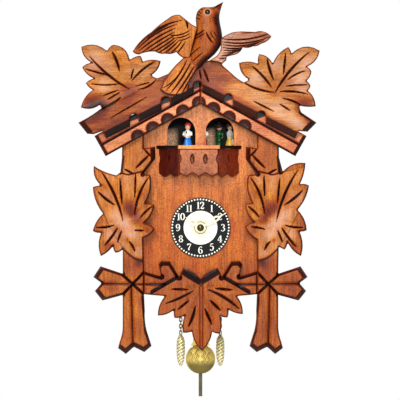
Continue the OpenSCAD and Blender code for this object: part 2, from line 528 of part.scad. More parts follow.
module dance_motor() color("#b9bcc0") at_dial() translate([motor_x, motor_y, 0]) difference() {
  translate([0, 0, stage_z - 15]) cylinder(r = 6, h = 15);
  translate([0, 0, stage_z - 8]) cylinder(r = 0.8, h = 9);
}
module motor_pinion() color("#e8e4d8") at_dial() translate([motor_x, motor_y, 0]) {
  translate([0, 0, stage_z - 7.5]) cylinder(r = 0.75, h = 11);
  translate([0, 0, stage_z + 3.5]) linear_extrude(height = 1.2) rotate(225 + 18) gear(0.6, 10);
}

// ---------- music ----------

pcb_x = hw - wall_t - 5.6;
module music_board() color("#2f6b3c") at_dial() {
  block([pcb_x, -52, -24], [pcb_x + 1.2, -14, 14]);
  for (y = [-49, -17], z = [-21, 11]) translate([pcb_x + 1.2, y, z]) rotate([0, 90, 0]) cylinder(r = 1.6, h = 4.4);
  block([pcb_x - 1.6, -40, -4], [pcb_x, -30, 4]);
  difference() {
    block([pcb_x + 1.2, -34, -21], [pcb_x + 5.2, -22, -15]);
    block([pcb_x + 2.2, -32.4, -19.4], [pcb_x + 6, -23.6, -16.6]);
  }
}
module switch_slider() color("#26282b") at_dial() block([pcb_x + 2.6, -31.5, -19], [hw + 1.6, -28.5, -17]);
module speaker() color("#2f3236") at_dial() translate([-hw + wall_t, -28, 0]) rotate([0, 90, 0]) {
  difference() {
    cylinder(r = 14, h = 3.6);
    translate([0, 0, -1]) cylinder(r = 12, h = 2.6);
  }
  translate([0, 0, 3.6]) cylinder(r = 7, h = 4);
}
module battery_holder() color("#26282b") at_dial() difference() {
  block([-28, -24.4, floor_z + 4], [28, -7.6, floor_z + 14]);
  block([-26.4, -23.2, floor_z + 5.2], [26.4, -8.8, floor_z + 15]);
}
module cell() {
  cylinder(r = 7.1, h = 48.6);
  translate([0, 0, 48.6]) cylinder(r = 2.6, h = 1.4);
}
module batteries() color("#b8862b") at_dial() {
  translate([19.5, mv_y + 8.8, -25]) cell();
  translate([-25, -16, floor_z + 12.4]) rotate([0, 90, 0]) cell();
}

// ---------- chains and weights ----------

module ring(rc, rw) rotate_extrude($fn = 32) translate([rc, 0]) circle(r = rw, $fn = 16);
// one link, standing in the XZ plane, centred
module chain_link() {
  h = link_l / 2 - link_r;
  for (s = [0, 180]) rotate([0, s, 0]) translate([0, 0, h]) rotate([90, 0, 0])
    rotate_extrude(angle = 180, $fn = 32) translate([link_r - wire, 0]) circle(r = wire, $fn = 16);
  for (s = [-1, 1]) translate([s * (link_r - wire), 0, -h]) cylinder(r = wire, h = 2 * h, $fn = 16);
}
module chain_hooks() color(brass) at_dial() for (s = [-1, 1]) translate([s * chain_x, chain_y, hook_z]) {
  rotate([90, 0, 0]) ring(hook_r - wire, wire);
  translate([0, 0, hook_r - wire - 0.1]) cylinder(r = 0.6, h = 3.4);
}
module chain(s) color(brass) at_dial() translate([s * chain_x, chain_y, 0])
  for (i = [0 : links - 1]) translate([0, 0, first_c - i * link_p]) rotate([0, 0, i % 2 == 0 ? 90 : 0]) chain_link();
module chain_left() chain(-1);
module chain_right() chain(1);

module cone(s) color(brass) at_dial() translate([s * chain_x, chain_y, loop_z]) {
  rotate([90, 0, links % 2 == 0 ? 90 : 0]) ring(hook_r - wire, wire);
  translate([0, 0, -hook_r - cone_len]) rotate_extrude() polygon(concat([[0, 0]],
    [for (i = [0 : 17]) let (t = (i + 0.5) / 18) [2.6 * pow(sin(180 * pow(t, 0.8) * 0.93 + 10), 0.6) * (i % 2 == 0 ? 1 : 0.86), cone_len * t]], [[0.7, cone_len], [0.7, cone_len + 0.3], [0, cone_len + 0.3]]));
}
module cone_left() cone(-1);
module cone_right() cone(1);

// ---------- what is drawn ----------

front_board();
side_left();
side_right();
bottom_board();
back_gable();
back_door();
door_hinges();
door_leaves();
roof_left();
roof_right();
barge_left();
barge_right();
stage_floor();
stage_backdrop();
crown();
bird_body();
bird_wing_left();
bird_wing_right();
bird_eyes();
stile_left();
stile_right();
apron();
balcony_front();
balcony_sides();
balcony_rail();
balcony_floor();
dial();
dial_nut();
hour_hand();
minute_hand();
hand_cap();
movement_plate();
movement_cover();
minute_wheel();
hour_wheel();
motion_wheel();
third_wheel();
rotor();
movement_coils();
setting_knob();
pendulum_lever();
pendulum_rod();
pendulum_bob();
turntable();
dancer_blue();
dancer_green();
dancer_yellow();
dancer_red();
dance_motor();
motor_pinion();
music_board();
speaker();
switch_slider();
battery_holder();
batteries();
chain_hooks();
chain_left();
chain_right();
cone_left();
cone_right();
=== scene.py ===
# %% [markdown]
# # A carved chalet cuckoo clock
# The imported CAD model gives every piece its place. Plain boards and the works keep their CAD
# meshes and get a finish. Carved boards, the bird, the dancers and the gilt weights are made
# again as surfaces worked out with numpy, because their look lives in small cuts.

# %% Load the frame
import bpy
import math
import numpy as np
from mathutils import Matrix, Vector


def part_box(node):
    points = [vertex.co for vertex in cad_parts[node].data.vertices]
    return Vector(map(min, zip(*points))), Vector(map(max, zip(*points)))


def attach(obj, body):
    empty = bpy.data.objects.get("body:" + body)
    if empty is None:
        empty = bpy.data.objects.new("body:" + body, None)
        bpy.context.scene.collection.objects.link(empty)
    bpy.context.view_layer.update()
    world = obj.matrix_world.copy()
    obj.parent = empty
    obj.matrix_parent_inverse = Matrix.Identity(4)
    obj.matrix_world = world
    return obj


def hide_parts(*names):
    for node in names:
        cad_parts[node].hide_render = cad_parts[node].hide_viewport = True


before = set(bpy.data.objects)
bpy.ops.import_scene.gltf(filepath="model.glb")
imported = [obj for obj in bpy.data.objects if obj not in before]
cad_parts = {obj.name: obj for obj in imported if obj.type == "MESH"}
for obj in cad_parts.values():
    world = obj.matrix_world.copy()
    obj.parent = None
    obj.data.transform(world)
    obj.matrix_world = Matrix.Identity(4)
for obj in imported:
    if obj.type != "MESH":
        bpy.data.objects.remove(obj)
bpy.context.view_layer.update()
MM = 0.001
dial_box = np.array(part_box("dial")) / MM
DIAL_Z = dial_box[:, 2].mean()

# %% [markdown]
# ## Camera and light
# A clock is looked at from across a room, so the camera stands 2.4 m away with a long lens, level
# with the windows; a near camera would make the crown too big. A key lamp from the upper left
# shapes the carving, a weaker lamp in front opens the shadows, and a narrow spot reaches the
# dancers through the windows. The standard view transform shows the stains in the colours they
# were mixed in.

# %% Camera
SENSOR = 36
DISTANCE = 2400   # mm from the camera to the carving
FRAMED = 250      # mm of the clock's plane that the view takes in
camera = bpy.data.objects.new("camera", bpy.data.cameras.new("camera"))
bpy.context.collection.objects.link(camera)
camera.data.sensor_width = SENSOR
camera.data.lens = SENSOR * DISTANCE / FRAMED
camera.location = (-0.0003, -2.463, -0.0527)
camera.rotation_euler = (math.radians(90), 0, 0)
bpy.context.scene.camera = camera
print("camera", tuple(camera.location), camera.data.lens)


# %% Lamps
def place_lamp(data, at, aim):
    """Puts a light at a place, turned to look at a point."""
    obj = bpy.data.objects.new(data.name, data)
    obj.location = at
    obj.rotation_euler = (Vector(aim) - obj.location).to_track_quat("-Z", "Y").to_euler()
    bpy.context.collection.objects.link(obj)


def lamp(name, at, aim, size, watts, tint):
    """A square area lamp."""
    data = bpy.data.lights.new(name, "AREA")
    data.size = size
    data.energy = watts
    data.color = tint
    place_lamp(data, at, aim)


lamp("key", (-0.2, -1.0, 0.48), (0, -0.05, -0.05), 0.4, 8.8, (1, 0.98, 0.95))
lamp("front", (0.15, -1.1, -0.15), (0, -0.05, -0.02), 0.6, 3.6, (1, 0.99, 0.98))
stage_light = bpy.data.lights.new("stage_light", "SPOT")
stage_light.energy = 12.0
stage_light.spot_size = math.radians(5.2)
stage_light.spot_blend = 0.5
stage_light.shadow_soft_size = 0.02
place_lamp(stage_light, (0.02, -0.85, 0.06), (0, -0.05, -0.012))
print("lamps", [light.name for light in bpy.data.lights])

# %% World
bpy.context.scene.view_settings.view_transform = "Standard"
world = bpy.data.worlds.new("studio")
bpy.context.scene.world = world
world.use_nodes = True
nodes, links = world.node_tree.nodes, world.node_tree.links
sky = nodes["Background"]
sky.inputs["Color"].default_value = (1, 1, 1, 1)
# the camera sees full white, the clock is lit by a little over half of that
ray = nodes.new("ShaderNodeLightPath")
level = nodes.new("ShaderNodeMapRange")
level.inputs["To Min"].default_value = 0.6
level.inputs["To Max"].default_value = 1.0
links.new(ray.outputs["Is Camera Ray"], level.inputs["Value"])
links.new(level.outputs["Result"], sky.inputs["Strength"])
print("world light", level.inputs["To Min"].default_value)

# %% [markdown]
# ## Finishes
# Every finish starts from the real one: its colour in sRGB hex, its roughness, and a pattern
# whose scale comes from a real size in millimetres. An image of wood would do the same work, but
# noise on Object coordinates needs no file and never stretches, so it is used throughout.

# %% Material helpers
def linear(hex_colour):
    """sRGB hex to linear RGBA: below 0.04045 divide by 12.92, above it the 2.4 power curve."""
    srgb = [int(hex_colour[i:i + 2], 16) / 255 for i in (1, 3, 5)]
    return [c / 12.92 if c <= 0.04045 else ((c + 0.055) / 1.055) ** 2.4 for c in srgb] + [1]


def add(tree, kind, links=(), **settings):
    """Adds a node. Settings name its fields or, as in_2, its inputs; links feed its inputs."""
    node = tree.nodes.new("ShaderNode" + kind)
    for key, value in settings.items():
        if key.startswith("in_"):
            node.inputs[int(key[3:])].default_value = value
        else:
            setattr(node, key, value)
    for source, target in links:
        tree.links.new(source, node.inputs[target])
    return node


def blank(name, colour, roughness, **sockets):
    """A Principled material with uniform values set on the shader itself."""
    material = bpy.data.materials.new(name)
    material.use_nodes = True
    shader = material.node_tree.nodes["Principled BSDF"]
    shader.inputs["Base Color"].default_value = linear(colour)
    shader.inputs["Roughness"].default_value = roughness
    for key, value in sockets.items():
        shader.inputs[key.replace("_", " ")].default_value = value
    return material, material.node_tree, shader


def ramp(tree, source, *stops):
    """A colour ramp over (place, hex) stops."""
    node = add(tree, "ValToRGB", [(source, 0)])
    while len(node.color_ramp.elements) < len(stops):
        node.color_ramp.elements.new(0.5)
    for element, (place, colour) in zip(node.color_ramp.elements, stops):
        element.position = place
        element.color = linear(colour)
    return node.outputs[0]


def blend_colour(tree, kind, amount, a, b):
    """Mixes colours a and b; amount is a number or an output."""
    node = tree.nodes.new("ShaderNodeMix")
    node.data_type = "RGBA"
    node.blend_type = kind
    for value, index in ((amount, 0), (a, 6), (b, 7)):
        if isinstance(value, (int, float, list)):
            node.inputs[index].default_value = value
        else:
            tree.links.new(value, node.inputs[index])
    return node.outputs[2]


# %% [markdown]
# ### Stained lime wood
# Lime is pale and even, so the carver stains it: an orange-brown wash, and near-black walnut
# stain burnished into every cut, whose dark in the cut is also painted shade. A painted mask
# could say where the stain lies, but each carving already knows how deep it was cut, so it also
# writes a point attribute for the shader: stain and painted shade above 0, painted highlight
# below 0. The grain is noise stretched along the board.

# %% Wood
STREAK = 1500   # noise cells to a metre: grain lines about 0.7 mm apart
BAND = 260      # growth bands about 4 mm apart
BLOTCH = 70     # patches of wash about 14 mm across
PORE = 1300     # pores about 0.8 mm apart, coarser than real ones so that they show
CASE_FOOT = -0.105   # height in metres where the tall boards end


def tint_by(tree, tone, value, low, high, *stops):
    """Multiplies a colour by a ramp over a value that runs from low to high."""
    level = add(tree, "MapRange", [(value, 0)], in_1=low, in_2=high).outputs[0]
    return blend_colour(tree, "MULTIPLY", 1.0, tone, ramp(tree, level, *stops))


def wood(name, light, mid, deep, grain=(1, 1, 0.06), rough=0.42, rosy="#e9bcae", fade=None,
         steps=()):
    """Grain = noise on coordinates squeezed along the board; then blotches, speckle and stain.

    Stain above 0 darkens with stain and painted shade; below 0 a pale pink-grey is screened on as
    painted highlight. fade gives tints for the foot and the head of a tall board, mixed by height;
    on the case board it is painted light, paler at the head and darker orange at the foot. Each of
    steps (x0, x1, colour) tints the wood beyond x0 metres and fades out at x1.
    """
    material, tree, shader = blank(name, mid, rough, Specular_IOR_Level=0.2)
    place = add(tree, "TexCoord").outputs["Object"]
    along = add(tree, "Mapping", [(place, 0)], in_3=grain).outputs[0]
    fine = add(tree, "TexNoise", [(along, 0)], in_2=STREAK, in_3=4, in_4=0.62).outputs[0]
    broad = add(tree, "TexNoise", [(along, 0)], in_2=BAND, in_3=3, in_4=0.55).outputs[0]
    wash = add(tree, "TexNoise", [(place, 0)], in_2=BLOTCH, in_3=3).outputs[0]
    pores = add(tree, "TexNoise", [(place, 0)], in_2=PORE, in_3=2, in_4=0.7).outputs[0]
    base = ramp(tree, fine, (0.34, deep), (0.5, mid), (0.68, light))
    wide = ramp(tree, broad, (0.32, deep), (0.62, light))
    both = blend_colour(tree, "MIX", 0.35, base, wide)
    shade = ramp(tree, wash, (0.32, rosy), (0.55, "#fff6ee"), (0.75, "#ffdca8"))
    tone = blend_colour(tree, "MULTIPLY", 0.8, both, shade)
    speckle = ramp(tree, pores, (0.36, "#b58f7c"), (0.52, "#ffffff"))
    tone = blend_colour(tree, "MULTIPLY", 0.75, tone, speckle)
    across, _, height = add(tree, "SeparateXYZ", [(place, 0)]).outputs
    if fade:
        tone = tint_by(tree, tone, height, CASE_FOOT, 0.0, (0, fade[0]), (1, fade[1]))
    for start, end, colour in steps:
        tone = tint_by(tree, tone, across, start, end, (0, colour), (1, "#ffffff"))
    stain = add(tree, "Attribute", attribute_name="stain").outputs["Fac"]
    warm = ramp(tree, stain, (0.0, "#ffffff"), (0.12, "#dcb8a0"), (0.3, "#b3764c"),
                (0.6, "#5a2c1c"), (0.82, "#2e1612"), (1.0, "#140b0a"))
    stained = blend_colour(tree, "MULTIPLY", 1.0, tone, warm)
    # below 0 a pale pink-grey is screened over the wood: painted highlight
    painted_highlight = add(tree, "Math", [(stain, 0)], operation="MULTIPLY", use_clamp=True, in_1=-1.0)
    final = blend_colour(tree, "SCREEN", painted_highlight.outputs[0], stained, linear("#c4a296"))
    tree.links.new(final, shader.inputs["Base Color"])
    lift = add(tree, "Bump", [(fine, "Height")], in_0=0.12, in_1=0.0003)
    tree.links.new(lift.outputs[0], shader.inputs["Normal"])
    return material


ALONG_X = (0.06, 1, 1)   # grain squeezed along a board that lies level
BLACKENED = "#2a1512"    # near-black on both ends of the hand rail
FINISH = {
    "carved": wood("stained_lime_upright", "#d28c30", "#b26a1e", "#82420e", rosy="#ecc4b4"),
    "carved_flat": wood("stained_lime_lying", "#d0903c", "#ae6c26", "#804812", ALONG_X,
                        rosy="#e8c4b8"),
    "apron": wood("stained_lime_deep", "#bc6c20", "#9a4c12", "#6c3008"),
    # the case board is tinted paler and pinker at its head and darker orange at its foot: painted
    # light from above
    "board": wood("stained_case_board", "#e6a454", "#bf7a34", "#84481e", rosy="#f0c4b0",
                  fade=("#ecb63c", "#ffeee8")),
    "barge": wood("stained_barge_board", "#dd9a6a", "#c87f52", "#a4603c", ALONG_X),
    "rail": wood("stained_balcony_board", "#ac6834", "#945024", "#703816", (0.3, 1, 0.3)),
    "handrail": wood("stained_hand_rail", "#dc9648", "#c47a32", "#98561e", ALONG_X,
                     steps=((-0.0142, -0.0136, BLACKENED), (0.0123, 0.0117, BLACKENED))),
    "roof": wood("dark_stained_board", "#6a3a20", "#4f2713", "#35180c", (1, 0.06, 1)),
    # the balcony's side facets and floor, darker than its front: walnut stain and painted shade;
    # left of -14.2 mm a grey-pink tint adds painted shade to the left facet
    "dark": wood("walnut_stained_board", "#8e3a18", "#62200f", "#320f08", (1, 1, 0.3),
                 steps=((-0.0142, -0.0136, "#b08a94"),)),
    # the right wing: a paler pink-grey copy of the carved lime, a painted sheen
    "wing": wood("stained_lime_grey", "#e0b8a0", "#c09078", "#8a6250", ALONG_X, rosy="#d8c4c0"),
    "raw": wood("raw_plywood", "#c9a677", "#b58f60", "#98744a", rough=0.6),
}
print("wood finishes", list(FINISH))

# %% [markdown]
# ### Metal, plastic, paint and paper
# Brass is yellow with tarnish in soft patches, and its dips hold the dirt; the pendulum bob's lower
# half is painted the same dark olive as a painted reflection. Moulded plastic has a faint
# orange-peel, the dancers' brushed enamel is glossy and a little uneven, and the printed dial is
# matt. They differ in colour, gloss and scale only, so one function mixes them all.

# %% Other finishes
PEEL = 2200     # unevenness about 0.45 mm across
BRUSHED = 400   # brush marks about 2.5 mm apart


def mottled(name, colour, shade, rough, scale=120, bump=0.05, low=None, **sockets):
    """Two tones of one finish in soft patches, a little unevenness, and low where the attribute is
    dark: dirt in the dips, and on the bob a painted reflection.
    """
    material, tree, shader = blank(name, colour, rough, **sockets)
    place = add(tree, "TexCoord").outputs["Object"]
    patch = add(tree, "TexNoise", [(place, 0)], in_2=scale, in_3=3).outputs[0]
    tone = ramp(tree, patch, (0.35, shade), (0.65, colour))
    if low:
        dirt_and_reflection = add(tree, "Attribute", attribute_name="stain").outputs["Fac"]
        tone = blend_colour(tree, "MIX", dirt_and_reflection, tone, linear(low))
    tree.links.new(tone, shader.inputs["Base Color"])
    peel = add(tree, "TexNoise", [(place, 0)], in_2=PEEL).outputs[0]
    lift = add(tree, "Bump", [(peel, "Height")], in_0=bump, in_1=0.0001)
    tree.links.new(lift.outputs[0], shader.inputs["Normal"])
    return material


FINISH.update({
    # sheet and drawn brass: warm metal in two tones, duller and browner the older it is
    "brass": mottled("aged_brass", "#b39a55", "#8d7434", 0.32, Metallic=1.0),
    "rod": mottled("tarnished_brass", "#5c5433", "#3a3420", 0.45, Metallic=0.5),
    "gilt": mottled("gilt_pressed_metal", "#f2d878", "#e2c058", 0.34, low="#54490f", Metallic=0.3),
    "gilt_cone": mottled("gilt_cast_metal", "#faf0c4", "#e6d694", 0.3, low="#52451a", Metallic=0.4),
    "cap": mottled("darkened_brass_nut", "#5e5a2c", "#3c3a1a", 0.25, Metallic=1.0),
    "pale_brass": mottled("pale_lacquered_brass", "#efe6c4", "#e0d3a2", 0.4, Metallic=0.2),
    # enamel laid on by brush: strong even colour, glossy, with faint brush marks
    "paint_white": mottled("white_enamel", "#f6f3ea", "#ece7da", 0.4, bump=0.01),
    "paint_blue": mottled("blue_enamel", "#2a86dc", "#1f6cc2", 0.3, scale=BRUSHED),
    "paint_yellow": mottled("yellow_enamel", "#efc64a", "#dfae30", 0.3, scale=BRUSHED),
    "paint_green": mottled("green_enamel", "#1d6b34", "#124a22", 0.3, scale=BRUSHED),
    "paint_red": mottled("red_enamel", "#cf4430", "#b23222", 0.3, scale=BRUSHED),
    "paint_dark": mottled("dark_felt_hat", "#3a2a1e", "#241a12", 0.7, scale=BRUSHED),
    "skin": mottled("skin_enamel", "#eebf9c", "#e2a98a", 0.4, scale=BRUSHED),
    "hair_brown": mottled("brown_enamel", "#6e3c22", "#4f2915", 0.4, scale=BRUSHED),
    # the works: plated steel, moulded plastics, enamelled wire, lacquered board and glass
    "steel": mottled("zinc_plated_steel", "#b9bcc0", "#9fa3a8", 0.35, Metallic=1.0),
    "black": mottled("black_moulded_abs", "#1c1d1f", "#141416", 0.45),
    "dial": mottled("black_printed_dial", "#0c1115", "#060808", 0.5, Specular_IOR_Level=0.15),
    "white": mottled("white_acetal", "#dfddd6", "#d2cfc6", 0.4),
    "ivory": mottled("ivory_moulded_hand", "#efe8d2", "#e0d6ba", 0.35, bump=0.02),
    "copper": mottled("enamelled_copper_wire", "#9c5426", "#6f3617", 0.4, scale=900, Metallic=0.8),
    "board_green": mottled("green_solder_resist", "#1f5a34", "#174828", 0.35, scale=300),
    "cell": mottled("printed_cell_jacket", "#b07a25", "#8d5f1b", 0.3, Metallic=0.5),
    "bead": mottled("black_glass_bead", "#060505", "#030303", 0.05),
})
print("finishes", len(FINISH))

# %% Stage backdrop
LIT_STRIPS = (-0.0215, 0.0025)   # left sides of the painted strips of light, one in each window
SIDE = 0.0006                # how soft a strip's left side is


def backdrop():
    """Painted light and shade: black is painted shade, but for an upright strip at the left of each
    window in wood colour, painted light that falls in through the window.

    A strip rises over its left side and falls again 4.8 to 7.8 mm further on. The painted light
    shows below -11.5 mm and is gone above -6.2 mm.
    """
    material, tree, shader = blank("stage_backdrop_painted_light_and_shade", "#101114", 0.8)
    place = add(tree, "TexCoord").outputs["Object"]
    x, _, z = add(tree, "SeparateXYZ", [(place, 0)]).outputs
    strips = None
    for left in LIT_STRIPS:
        rise = add(tree, "MapRange", [(x, 0)], in_1=left, in_2=left + SIDE).outputs[0]
        fall = add(tree, "MapRange", [(x, 0)], in_1=left + 0.0078, in_2=left + 0.0048).outputs[0]
        strip = add(tree, "Math", [(rise, 0), (fall, 1)], operation="MULTIPLY").outputs[0]
        if strips is not None:
            strip = add(tree, "Math", [(strips, 0), (strip, 1)], operation="MAXIMUM").outputs[0]
        strips = strip
    low = add(tree, "MapRange", [(z, 0)], in_1=-0.0062, in_2=-0.0115).outputs[0]
    painted_light = add(tree, "Math", [(strips, 0), (low, 1)], operation="MULTIPLY").outputs[0]
    speck = add(tree, "TexNoise", [(place, 0)], in_2=STREAK, in_3=2).outputs[0]
    board = ramp(tree, speck, (0.4, "#a8714c"), (0.6, "#ffd2aa"))
    tone = blend_colour(tree, "MIX", painted_light, linear("#0b0c12"), board)
    tree.links.new(tone, shader.inputs["Base Color"])
    return material


FINISH["backdrop"] = backdrop()
print("bare strips at", LIT_STRIPS)

# %% Finish every CAD node
NODES_OF = {
    "board": "front_board side_left side_right bottom_board",
    "roof": "roof_left roof_right",
    "raw": "back_gable back_door stage_floor turntable",
    "brass": "door_hinges door_leaves minute_wheel chain_hooks chain_left chain_right",
    "cap": "hand_cap",
    "pale_brass": "dial_nut",
    "rod": "pendulum_rod",
    "gilt": "pendulum_bob cone_left cone_right",
    "ivory": "hour_hand minute_hand",
    "black": "movement_plate movement_cover setting_knob speaker switch_slider battery_holder",
    "white": "hour_wheel motion_wheel third_wheel pendulum_lever motor_pinion",
    "steel": "rotor dance_motor",
    "copper": "movement_coils",
    "board_green": "music_board",
    "backdrop": "stage_backdrop",
    "cell": "batteries",
    "dial": "dial",
    "bead": "bird_eyes",
    "carved": "stile_left stile_right bird_body bird_wing_left bird_wing_right balcony_front "
              "dancer_blue dancer_green dancer_yellow dancer_red",
    "handrail": "balcony_rail",
    "carved_flat": "crown barge_left barge_right",
    "apron": "apron",
    "dark": "balcony_sides balcony_floor",
}
for finish, names in NODES_OF.items():
    for name in names.split():
        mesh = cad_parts[name].data
        mesh.materials.clear()
        mesh.materials.append(FINISH[finish])
print("CAD nodes finished", sum(len(v.split()) for v in NODES_OF.values()))

# %% [markdown]
# ## Carved boards
# The real boards were cut with gouges. Sculpting would give the same cuts, but not twice, and
# boolean cutters would leave ragged meshes. So each face is a grid of heights: a function of x
# and z that starts at the front face and goes down where the gouge went. A board keeps the
# outline of its CAD piece: the grid's rim is pulled onto it, so edges and leaf tips stay crisp,
# and walls join it to the flat back.

# %% Outline of a CAD board
def outline_of(node):
    """The rim of the flat back face as segments (n, 2, 2) in mm, x and z from the dial centre.

    A triangle edge that only one back triangle uses is on the rim.
    """
    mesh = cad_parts[node].data
    points = np.empty(len(mesh.vertices) * 3)
    mesh.vertices.foreach_get("co", points)
    points = points.reshape(-1, 3) / MM
    mesh.calc_loop_triangles()
    tris = np.empty(len(mesh.loop_triangles) * 3, dtype=int)
    mesh.loop_triangles.foreach_get("vertices", tris)
    tris = tris.reshape(-1, 3)
    _, first, same = np.unique(np.round(points, 3), axis=0, return_index=True, return_inverse=True)
    tris = first[same.reshape(-1)][tris]
    flat = tris[(points[tris][:, :, 1] > points[:, 1].max() - 0.01).all(axis=1)]
    edges = np.sort(np.concatenate([flat[:, [0, 1]], flat[:, [1, 2]], flat[:, [2, 0]]]), axis=1)
    edges, uses = np.unique(edges, axis=0, return_counts=True)
    rim = edges[uses == 1]
    return points[rim][:, :, [0, 2]] - [0, DIAL_Z]


FAR = 1e9    # farther than any point of the clock, mm


def nearest(p, segments, normals=None):
    """Distance from each point to the nearest of the segments, and that place or its normal."""
    best = np.full(len(p), FAR)
    place = np.zeros_like(p)
    for k, (a, b) in enumerate(segments):
        d = b - a
        t = np.clip(((p - a) @ d) / max(d @ d, 1e-12), 0, 1)
        q = a + t[:, None] * d
        r = np.hypot(*(p - q).T)
        near = r < best
        best[near] = r[near]
        place[near] = q[near] if normals is None else normals[k]
    return best, place


def inside(p, segments):
    """Even-odd rule: inside when a ray towards +x crosses the rim an odd number of times."""
    crossings = np.zeros(len(p), dtype=int)
    for a, b in segments:
        between = (a[1] > p[:, 1]) != (b[1] > p[:, 1])
        if between.any():
            x = a[0] + (p[:, 1] - a[1]) / (b[1] - a[1]) * (b[0] - a[0])
            crossings += between & (p[:, 0] < x)
    return crossings % 2 == 1


def outward(segments):
    """Unit normals of the rim segments, turned to point away from the board."""
    d = segments[:, 1] - segments[:, 0]
    n = np.stack([-d[:, 1], d[:, 0]], axis=1) / np.maximum(np.hypot(*d.T), 1e-9)[:, None]
    within = inside(segments.mean(axis=1) + 0.02 * n, segments)
    return np.where(within[:, None], -n, n)


def corners_of(segments, angle=24):
    """Places where two rim segments meet at a real corner, one of more than angle degrees.

    Unit directions out of a place add up to 2 sin(turn / 2), which is 0 where the rim runs straight.
    """
    ends = np.round(segments.reshape(-1, 2), 3)
    points, index = np.unique(ends, axis=0, return_inverse=True)
    index = index.reshape(-1, 2)
    d = segments[:, 1] - segments[:, 0]
    d = d / np.linalg.norm(d, axis=1)[:, None]
    total = np.zeros((len(points), 2))
    np.add.at(total, index[:, 0], d)
    np.add.at(total, index[:, 1], -d)
    return points[np.hypot(*total.T) > 2 * math.sin(math.radians(angle / 2))]


print("crown rim has", len(outline_of("crown")), "segments")


# %% Smooth steps and gouge cuts
def soft(x, low, high):
    """Smooth step: 0 below low, 1 above high, 3t^2 - 2t^3 between."""
    t = np.clip((x - low) / (high - low), 0, 1)
    return t * t * (3 - 2 * t)


def gouge(p, x0, z0, x1, z1, width, bow=0.0):
    """A spindle-shaped V cut along a parabola that is bowed sideways by bow times its length.

    Half its width at t along it is width/2 * sin(pi t)^0.6. Returns 1 on the middle line, falling
    to 0 at its side.
    """
    a = np.array([x0, z0])
    d = np.array([x1, z1]) - a
    length = np.hypot(*d)
    u = d / length
    n = np.array([-u[1], u[0]])
    t = np.clip(((p - a) @ u) / length, 0, 1)
    side = (p - a) @ n - bow * length * 4 * t * (1 - t)
    beyond = np.abs((p - a) @ u - t * length)
    half = width / 2 * np.maximum(np.sin(np.pi * np.clip(t, 0.02, 0.98)), 0.05) ** 0.6
    return np.clip(1 - np.hypot(side, beyond) / half, 0, 1)


# %% The carved board itself
STEP = 0.42         # mm between grid points of a carved face
RIM = 1.2           # mm of rim that is painted paler where it faces the key lamp
THINNEST = 0.6      # mm of wood that a cut always leaves
BACK_STAIN = 0.55


def relief(segments, front, back, shape, step=STEP):
    """Front heights on a grid, rim pulled onto the outline, walls and a flat back.

    shape(p, rim) gives for points p (mm) with distance rim to the outline how deep the face lies
    below the front plane, and how dark it is there with stain and painted shade, below 0 painted
    highlight. Returns points, faces and that darkness.
    """
    low = segments.reshape(-1, 2).min(0) - step * 1.5
    high = segments.reshape(-1, 2).max(0) + step * 1.5
    xs = np.arange(low[0], high[0], step)
    zs = np.arange(low[1], high[1], step)
    grid = np.stack(np.meshgrid(xs, zs, indexing="ij"), axis=-1).reshape(-1, 2)
    within = inside(grid, segments)
    table = within.reshape(len(xs), len(zs))
    cells = table[:-1, :-1] | table[1:, :-1] | table[:-1, 1:] | table[1:, 1:]
    i, j = np.nonzero(cells)
    corner = i * len(zs) + j
    quads = np.stack([corner, corner + len(zs), corner + len(zs) + 1, corner + 1], axis=1)
    used, quads = np.unique(quads, return_inverse=True)
    quads = quads.reshape(-1, 4)
    p = grid[used]
    rim, place = nearest(p, segments)
    out = ~within[used] | (rim < 0.12 * step)
    p[out] = place[out]
    rim[out] = 0
    for c in corners_of(segments):
        k = np.argmin(np.where(out, np.hypot(*(p - c).T), FAR))
        p[k] = c
    _, away = nearest(p, segments, outward(segments))
    depth, stain = shape(p, rim)
    # a rim that looks up or left, towards the key lamp, is painted paler than one that looks down or
    # right: a painted highlight
    lit = 1 - soft(away @ [0.6, -0.8], -0.35, 0.5)
    stain = np.where(rim < RIM, stain * (1 - lit * 0.5 * (1 - soft(rim, 0.5, RIM))), stain)
    depth = np.clip(depth, 0, back - front - THINNEST)
    count = len(p)
    face = np.stack([p[:, 0], front + depth, p[:, 1] + DIAL_Z], axis=1)
    rear = np.stack([p[:, 0], np.full(count, back), p[:, 1] + DIAL_Z], axis=1)
    edges = np.concatenate([quads[:, [0, 1]], quads[:, [1, 2]], quads[:, [2, 3]], quads[:, [3, 0]]])
    key = np.sort(edges, axis=1)
    _, index, uses = np.unique(key, axis=0, return_index=True, return_counts=True)
    ring = edges[index[uses == 1]]
    walls = np.stack([ring[:, 1], ring[:, 0], ring[:, 0] + count, ring[:, 1] + count], axis=1)
    faces = np.concatenate([quads, quads[:, ::-1] + count, walls])
    stain = np.concatenate([stain, np.full(count, BACK_STAIN)])
    return np.concatenate([face, rear]), faces, stain


def piece(name, node, body, finish, points, faces, stain=None, corner=38):
    """A finished object from points in mm; corner is the angle that stays sharp."""
    mesh = bpy.data.meshes.new(name)
    mesh.from_pydata((np.asarray(points) * MM).tolist(), [], [list(f) for f in faces])
    if stain is not None:
        layer = mesh.attributes.new("stain", "FLOAT", "POINT")
        layer.data.foreach_set("value", np.asarray(stain, dtype=np.float32))
    mesh.validate()
    mesh.shade_smooth()
    mesh.set_sharp_from_angle(angle=math.radians(corner))
    mesh.materials.append(FINISH[finish])
    obj = bpy.data.objects.new(name, mesh)
    bpy.context.collection.objects.link(obj)
    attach(obj, body)
    if node:
        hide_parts(node)
    print(name, len(points), "points")
    return obj


def carve(name, node, body, finish, shape, step=STEP):
    """The relief of a CAD board, between its front and back faces."""
    box = np.array(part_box(node)) / MM
    points, faces, stain = relief(outline_of(node), box[0, 1], box[1, 1], shape, step)
    piece(name, node, body, finish, points, faces, stain)


